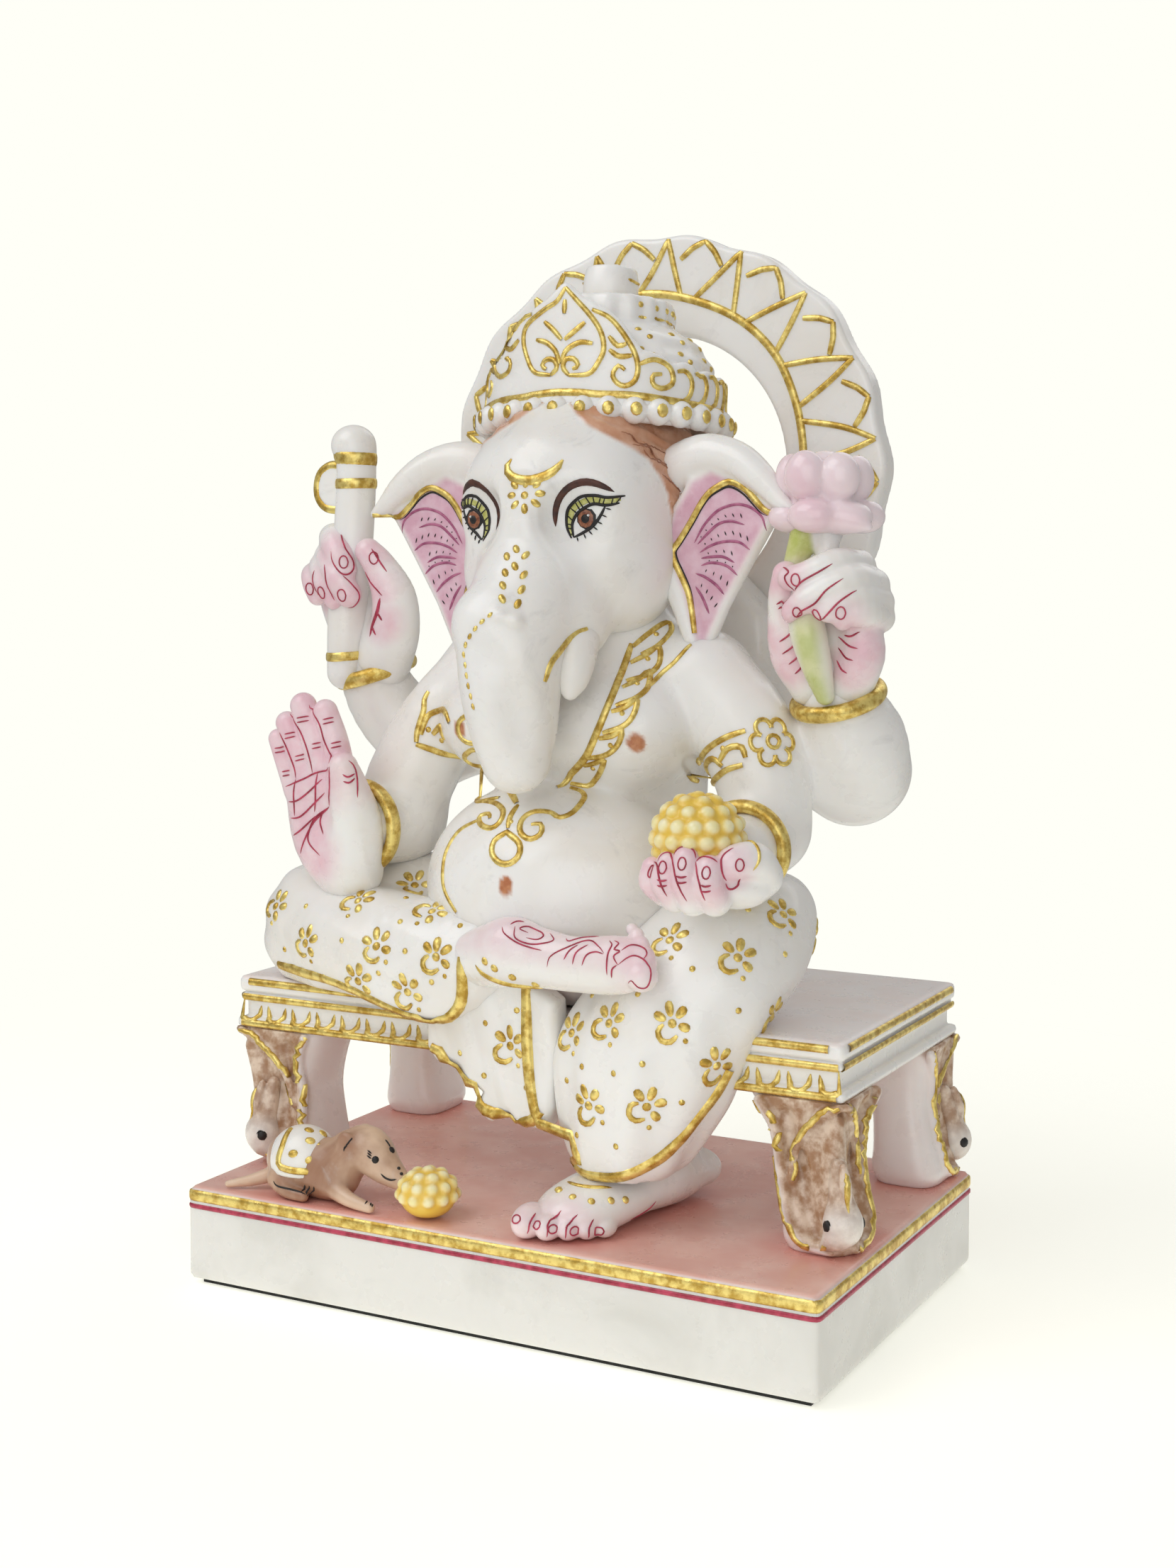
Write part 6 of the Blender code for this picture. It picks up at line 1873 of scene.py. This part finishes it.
HANGING_HEM = [
    (4.2, -50, 91), (4.4, -50, 84), (4.8, -50, 74), (5.6, -50, 65), (7.2, -50, 57), (10.4, -50, 50), (15, -50, 46), (22, -50, 43.8), (30, -50, 43.6),
    (38, -50, 46), (45, -48, 50), (50.3, -44, 55.6), (55.2, -42, 62.5), (58.7, -40, 67.9), (61.5, -38, 74),
]


def gild_cloth():
    """Raised gold flowers, seeds and borders on the three parts of the cloth."""
    lines = on("folded_leg_cloth")
    for x, y, z, lean in FOLDED_MOTIFS:
        motif(lines, (x, y, z), 10.0, lean)
    dots(lines, FOLDED_SEEDS, 1.9)
    lines.ribbon(FOLDED_BORDER, 3.5, 0.9, brush=0.15)
    lines.make("folded_leg_gold", LOOKS["gold"], "gold_leaf")
    lines = on("hanging_leg_cloth", "apron_cloth")
    for x, y, z, lean in HANGING_MOTIFS:
        motif(lines, (x, y, z), 10.0, lean)
    dots(lines, HANGING_SEEDS, 1.9)
    lines.ribbon(HANGING_HEM, 3.5, 0.9, brush=0.15, toward=(-0.2, 1, 0))
    lines.make("hanging_leg_gold", LOOKS["gold"], "gold_leaf")
    lines = on("apron_cloth")
    motif(lines, (-3.6, -36.3, 74.5), 10.0)
    dots(lines, APRON_SEEDS, 1.9)
    lines.ribbon(APRON_HEM, 3.6, 0.9, brush=0.15, toward=(0, 1, 0))
    return lines.make("apron_gold", LOOKS["gold"], "gold_leaf")


def gild_bench():
    """Two gold lines round the bench, with a row of petals between them at the front."""
    lines = on("carved_bench")
    slab_low, slab_high = np.array(low("bench_slab")), np.array(high("bench_slab"))
    plate_low, plate_high = np.array(low("bench_plate")), np.array(high("bench_plate"))
    for (lowest, highest), z in (((plate_low, plate_high), plate_high[2] - 1.6), ((slab_low, slab_high), slab_high[2] - 1.2)):
        for y, toward in ((lowest[1] - 3, (0, 1, 0)), (highest[1] + 3, (0, -1, 0))):
            lines.ribbon([(x, y, z) for x in np.linspace(lowest[0] + 2, highest[0] - 2, 30)], 2.2, 0.6, toward=toward, smooth=0, brush=0)
        for x, toward in ((lowest[0] - 3, (1, 0, 0)), (highest[0] + 3, (-1, 0, 0))):
            lines.ribbon([(x, y, z) for y in np.linspace(lowest[1] + 2, highest[1] - 2, 16)], 2.2, 0.6, toward=toward, smooth=0, brush=0)
    base = slab_low[2] + 1.4
    lines.ribbon([(x, slab_low[1] - 3, base) for x in np.linspace(slab_low[0] + 2, slab_high[0] - 2, 30)], 2.2, 0.6, toward=(0, 1, 0), smooth=0, brush=0)
    count = 22
    for i in range(count):
        x = slab_low[0] + (slab_high[0] - slab_low[0]) * (i + 0.5) / count
        y = slab_low[1] - 3
        cup = [(x - 3.2, y, base + 5.2), (x - 2.4, y, base + 1.8), (x, y, base + 0.7), (x + 2.4, y, base + 1.8), (x + 3.2, y, base + 5.2)]
        lines.ribbon(cup, 1.9, 0.6, toward=(0, 1, 0), smooth=4)
    return lines.make("bench_gold", LOOKS["gold"], "gold_leaf")


def gild_plinth():
    """A gold band and a crimson line under it round the plinth's upper edge."""
    lowest, highest = np.array(low("plinth")), np.array(high("plinth"))
    middle, half = (lowest + highest) / 2, (highest - lowest) / 2
    for name, look, drop, width in (("plinth_gold", "gold", 2.6, 3.4), ("plinth_crimson", "crimson", 5.6, 1.5)):
        lines = on("carved_plinth")
        round_corner = []
        for cx, cy, start in ((1, -1, -90), (1, 1, 0), (-1, 1, 90), (-1, -1, 180)):
            for a in np.radians((start, start + 45, start + 90)):
                x = middle[0] + cx * (half[0] - 1.5) + 2 * math.cos(a)
                y = middle[1] + cy * (half[1] - 1.5) + 2 * math.sin(a)
                round_corner.append((x, y, highest[2] - drop))
        lines.ribbon(round_corner, width, 0.4, closed=True, smooth=0, gap=1.2)
        lines.make(name, LOOKS[look], "gold_leaf" if look == "gold" else "white_marble")


EAR_GOLD = [
    (64.3, 221.3), (59.8, 221.2), (57.8, 220.7), (55.6, 221.8), (52.6, 224.8), (50.3, 227.1), (47.6, 228.8), (45.1, 229.4), (42.2, 228.3), (39.3, 226.5),
    (36.8, 223.5), (34.3, 219.4), (31.9, 215.7), (29.8, 212.7), (28.2, 210.4), (28.7, 207.8), (30.3, 204.7), (32, 201.3), (33.2, 198.3), (34.4, 193), (35.4, 187.6),
]
EAR_VEINS = [
    [(34.8, 212.7), (37.7, 217.5), (41.4, 221.2), (44.7, 222.7), (48.3, 223.2), (52, 222.2), (55.2, 219.6), (56.3, 215.9)],
    [(35.8, 212.3), (38.9, 215.3), (42.2, 217.9), (45.9, 218.6), (50, 217.6)],
    [(36.5, 210), (39.8, 211.9), (43.9, 213), (48.4, 212.8), (51.6, 210.7)],
    [(36.9, 208.4), (40, 208.8), (43.6, 208.8), (47, 207.2)],
    [(36.9, 206.4), (40.2, 207.2), (44.7, 206.3), (47.9, 203.7)],
    [(35.2, 204.2), (38.1, 203.2), (41.5, 201), (43.9, 198.4)],
    [(35.2, 200.6), (37.4, 197.4), (39.4, 193)],
]


def paint_ears():
    for side, name in ((1, "right"), (-1, "left")):
        flip = lambda path: [(-3 + side * (x + 3), -6.0, z) for x, z in path]
        back = (0, 1, 0)
        lines = on(f"carved_ear_{name}")
        lines.ribbon(flip(EAR_GOLD), 2.1, 0.6, toward=back, brush=0.3)
        lines.make(f"ear_gold_{name}", LOOKS["gold"], "gold_leaf")
        lines = on(f"carved_ear_{name}")
        strokes(lines, [flip(path) for path in EAR_VEINS], 0.9, 0.25, toward=back)
        lines.make(f"ear_veins_{name}", LOOKS["plum"], "ear_paint")
        lines = on(f"carved_ear_{name}")
        inner = [(x + (42 - x) * 0.07, z + (210 - z) * 0.07) for x, z in EAR_GOLD[2:-1]]
        lines.ribbon(flip(inner), 0.7, 0.3, toward=back)
        for upper, lower in zip(EAR_VEINS[:-1], EAR_VEINS[1:]):
            a, b = spaced(np.array(upper), 2.4), spaced(np.array(lower), 2.4)
            for p, q in zip(a[1:], b[1:]):
                m = p * 0.45 + q * 0.55
                d = (q - p) * 0.12
                lines.ribbon(flip([m - d, m + d]), 0.4, 0.25, toward=back, smooth=0)
        lines.make(f"ear_lines_{name}", LOOKS["black"], "ear_paint")


def gild_axe():
    lines = on("carved_handle")
    middle = np.array(centre("axe_handle"))
    rods = ((238.2, 4.2), (231, 3.4), (178.6, 3.0))
    skin = lines.skin
    for z, width in rods:
        spot, _ = skin.nearest((-75.0, -9.0, z))
        ring = [(spot[0] + 7 * math.cos(a), spot[1] + 3 + 7 * math.sin(a), z) for a in np.linspace(0, math.tau, 17)[:-1]]
        lines.ribbon(ring, width, 0.4, closed=True, smooth=0)
    return lines.make("axe_gold", LOOKS["gold"], "gold_leaf")


SADDLE_EDGE = [
    (-66.3, -52.1, 47.1), (-65.8, -56.8, 43.5), (-66.2, -58.3, 38.6), (-62.3, -58.5, 37.5), (-57, -57.2, 37.2), (-52.6, -56.9, 36.3),
    (-51.5, -56.5, 37.8), (-50.4, -55.1, 41.9), (-47.1, -55, 46.1),
]


def paint_mouse():
    lines = on("saddle_cloth")
    lines.ribbon(SADDLE_EDGE, 2.2, 0.6, brush=0.2)
    for place in [(-60.6, -51.2, 47.3), (-57, -48.5, 47), (-51.5, -52, 46.1), (-58.5, -53.7, 45), (-54.6, -52.7, 44.3), (-61.7, -57.1, 41.8), (-56.4, -56.6, 40.6)]:
        lines.dot(place, 2.4, 0.5, length=3.2, along=(1, 0, 0.3))
    lines.make("saddle_gold", LOOKS["gold"], "gold_leaf")
    lines = on("carved_mouse")
    for eye in ((-36.4, -53.9, 42.8), (-34.2, -48.9, 44.6)):
        lines.dot(eye, 2.2, 0.5)
        for lean in (-0.7, 0, 0.7):
            lines.ribbon([(eye[0] - 1.2, eye[1], eye[2] + 0.8 + lean), (eye[0] - 2.6, eye[1], eye[2] + 1.6 + lean)], 0.5, 0.3, smooth=0)
    dots(lines, [(-30.5, -51.2, 40.5), (-29, -51.9, 39.6)], 1.1)
    lines.ribbon([(-34.6, -54, 39.2), (-33.4, -53.8, 38.2), (-31.6, -53.5, 37.7), (-30, -53, 38)], 0.6, 0.3)
    for i in range(4):
        lines.ribbon([(-43.6 - i * 0.7, -54.5, 48.4 - i * 0.9), (-44.6 - i * 0.5, -54.8, 46.8 - i * 0.9)], 0.5, 0.3, smooth=0)
    for x, y in ((-58.4, -56.5), (-37, -56.6)):
        for i in range(3):
            lines.ribbon([(x + i * 1.6, y, 33.4), (x + i * 1.6 - 0.4, y - 1, 31)], 0.5, 0.3, smooth=0)
    lines.ribbon([(-67.9, -58.4, 33.6), (-66.4, -58.6, 32.4), (-61.5, -58, 31.8), (-57.2, -57.8, 31)], 0.6, 0.3)
    return lines.make("mouse_lines", LOOKS["black"], "fur_paint")


def dress_base_pad():
    """The CAD's pad keeps its own mesh and gets the rubber's look."""
    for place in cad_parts["base_pad"].material_slots:
        place.material = LOOKS["rubber"]


body = make_body()
head = make_head()
make_hair(head)
make_tusk()
make_ear("ear_left", -1)
make_ear("ear_right", 1)


make_crown()
make_beads()
make_halo()
make_open_hand()
make_cupped_hand()
make_axe_hand()
make_lotus_hand()
make_axe()
make_lotus()
make_stem()
make_sweets()
make_folded_leg()
make_hanging_leg()
make_apron()
make_folded_foot()
make_standing_foot()
make_bench()
for end, out in (("front", -1), ("rear", 1)):
    for side, sign in (("left", -1), ("right", 1)):
        make_bench_leg(end, side, sign, out)
        paint_leg(end, side, sign, out)
make_plinth()
make_mouse()
make_rings()
dress_base_pad()


gild_tiara()
gild_beads()
gild_dome()
gild_halo()
comb_hair()
paint_eyes()
gild_face()
gild_necklace()
gild_armlets()
paint_palm()
paint_cupped_hand()
paint_axe_hand()
paint_lotus_hand()
paint_folded_foot()
paint_standing_foot()
gild_cloth()
gild_bench()
gild_plinth()
paint_ears()
gild_axe()
paint_mouse()


# ---------------------------------------------------------------- camera, lights and floor


def make_camera():
    """The photograph's view, fitted from the plinth's corners."""
    lens = bpy.data.cameras.new("camera")
    lens.sensor_width = 36.0
    lens.lens = 47.70
    lens.shift_y = -0.0705
    camera = bpy.data.objects.new("camera", lens)
    camera.location = Vector((281.6, -524.5, 207.5)) * MM
    camera.rotation_euler = (math.radians(90 - 3.082), 0.0, math.radians(28.124))
    bpy.context.scene.collection.objects.link(camera)
    bpy.context.scene.camera = camera


def make_world():
    """A cream sweep: full brightness where it's seen, softer where it lights the stone."""
    world = bpy.data.worlds.new("studio")
    world.use_nodes = True
    nodes, links = world.node_tree.nodes, world.node_tree.links
    seen = nodes["Background"]
    seen.inputs["Color"].default_value = (1.0, 1.0, 0.93, 1.0)
    seen.inputs["Strength"].default_value = 1.0
    lit = nodes.new("ShaderNodeBackground")
    lit.inputs["Color"].default_value = (1.0, 0.99, 0.97, 1.0)
    lit.inputs["Strength"].default_value = 0.38
    mix = nodes.new("ShaderNodeMixShader")
    links.new(nodes.new("ShaderNodeLightPath").outputs["Is Camera Ray"], mix.inputs["Fac"])
    links.new(lit.outputs["Background"], mix.inputs[1])
    links.new(seen.outputs["Background"], mix.inputs[2])
    links.new(mix.outputs["Shader"], nodes["World Output"].inputs["Surface"])
    bpy.context.scene.world = world


def make_lights():
    for name, place, size, power in (
        ("key", (-0.5, -0.65, 1.1), 0.9, 5.4),
        ("fill", (0.35, -1.1, 0.42), 1.0, 3.6),
        ("back", (0.15, 0.85, 0.9), 0.8, 2.0),
    ):
        data = bpy.data.lights.new(name, "AREA")
        data.size = size
        data.energy = power
        lamp = bpy.data.objects.new(name, data)
        lamp.location = place
        lamp.rotation_euler = (Vector((0, 0, 0.15)) - Vector(place)).to_track_quat("-Z", "Y").to_euler()
        bpy.context.scene.collection.objects.link(lamp)


def make_floor():
    """A pale floor that fades out into the sweep behind it."""
    reach = 3000.0
    corners = [(-reach, -reach, 0), (reach, -reach, 0), (reach, reach, 0), (-reach, reach, 0)]
    floor = build_mesh("floor", corners, [(0, 1, 2, 3)])
    look = Look("pale_floor", 0.8, Emission_Color=(1.0, 1.0, 0.93, 1.0), Emission_Strength=0.42)
    look.colour(look.mix(look.noise(60, 2), srgb(0.95, 0.95, 0.915), srgb(0.96, 0.96, 0.925)))
    away = look.tree.nodes.new("ShaderNodeVectorMath")
    away.operation = "LENGTH"
    look.tree.links.new(look.place, away.inputs[0])
    clear = look.node("ShaderNodeBsdfTransparent")
    mix = look.node("ShaderNodeMixShader")
    look.tree.links.new(look.band(away.outputs["Value"], 0.16, 0.5), mix.inputs[0])
    look.tree.links.new(look.shader.outputs[0], mix.inputs[1])
    look.tree.links.new(clear.outputs[0], mix.inputs[2])
    look.tree.links.new(mix.outputs[0], look.tree.nodes["Material Output"].inputs["Surface"])
    floor.data.materials.append(look.material)


def make_stage():
    bpy.context.scene.view_settings.view_transform = "Standard"
    make_camera()
    make_world()
    make_lights()
    make_floor()


make_stage()
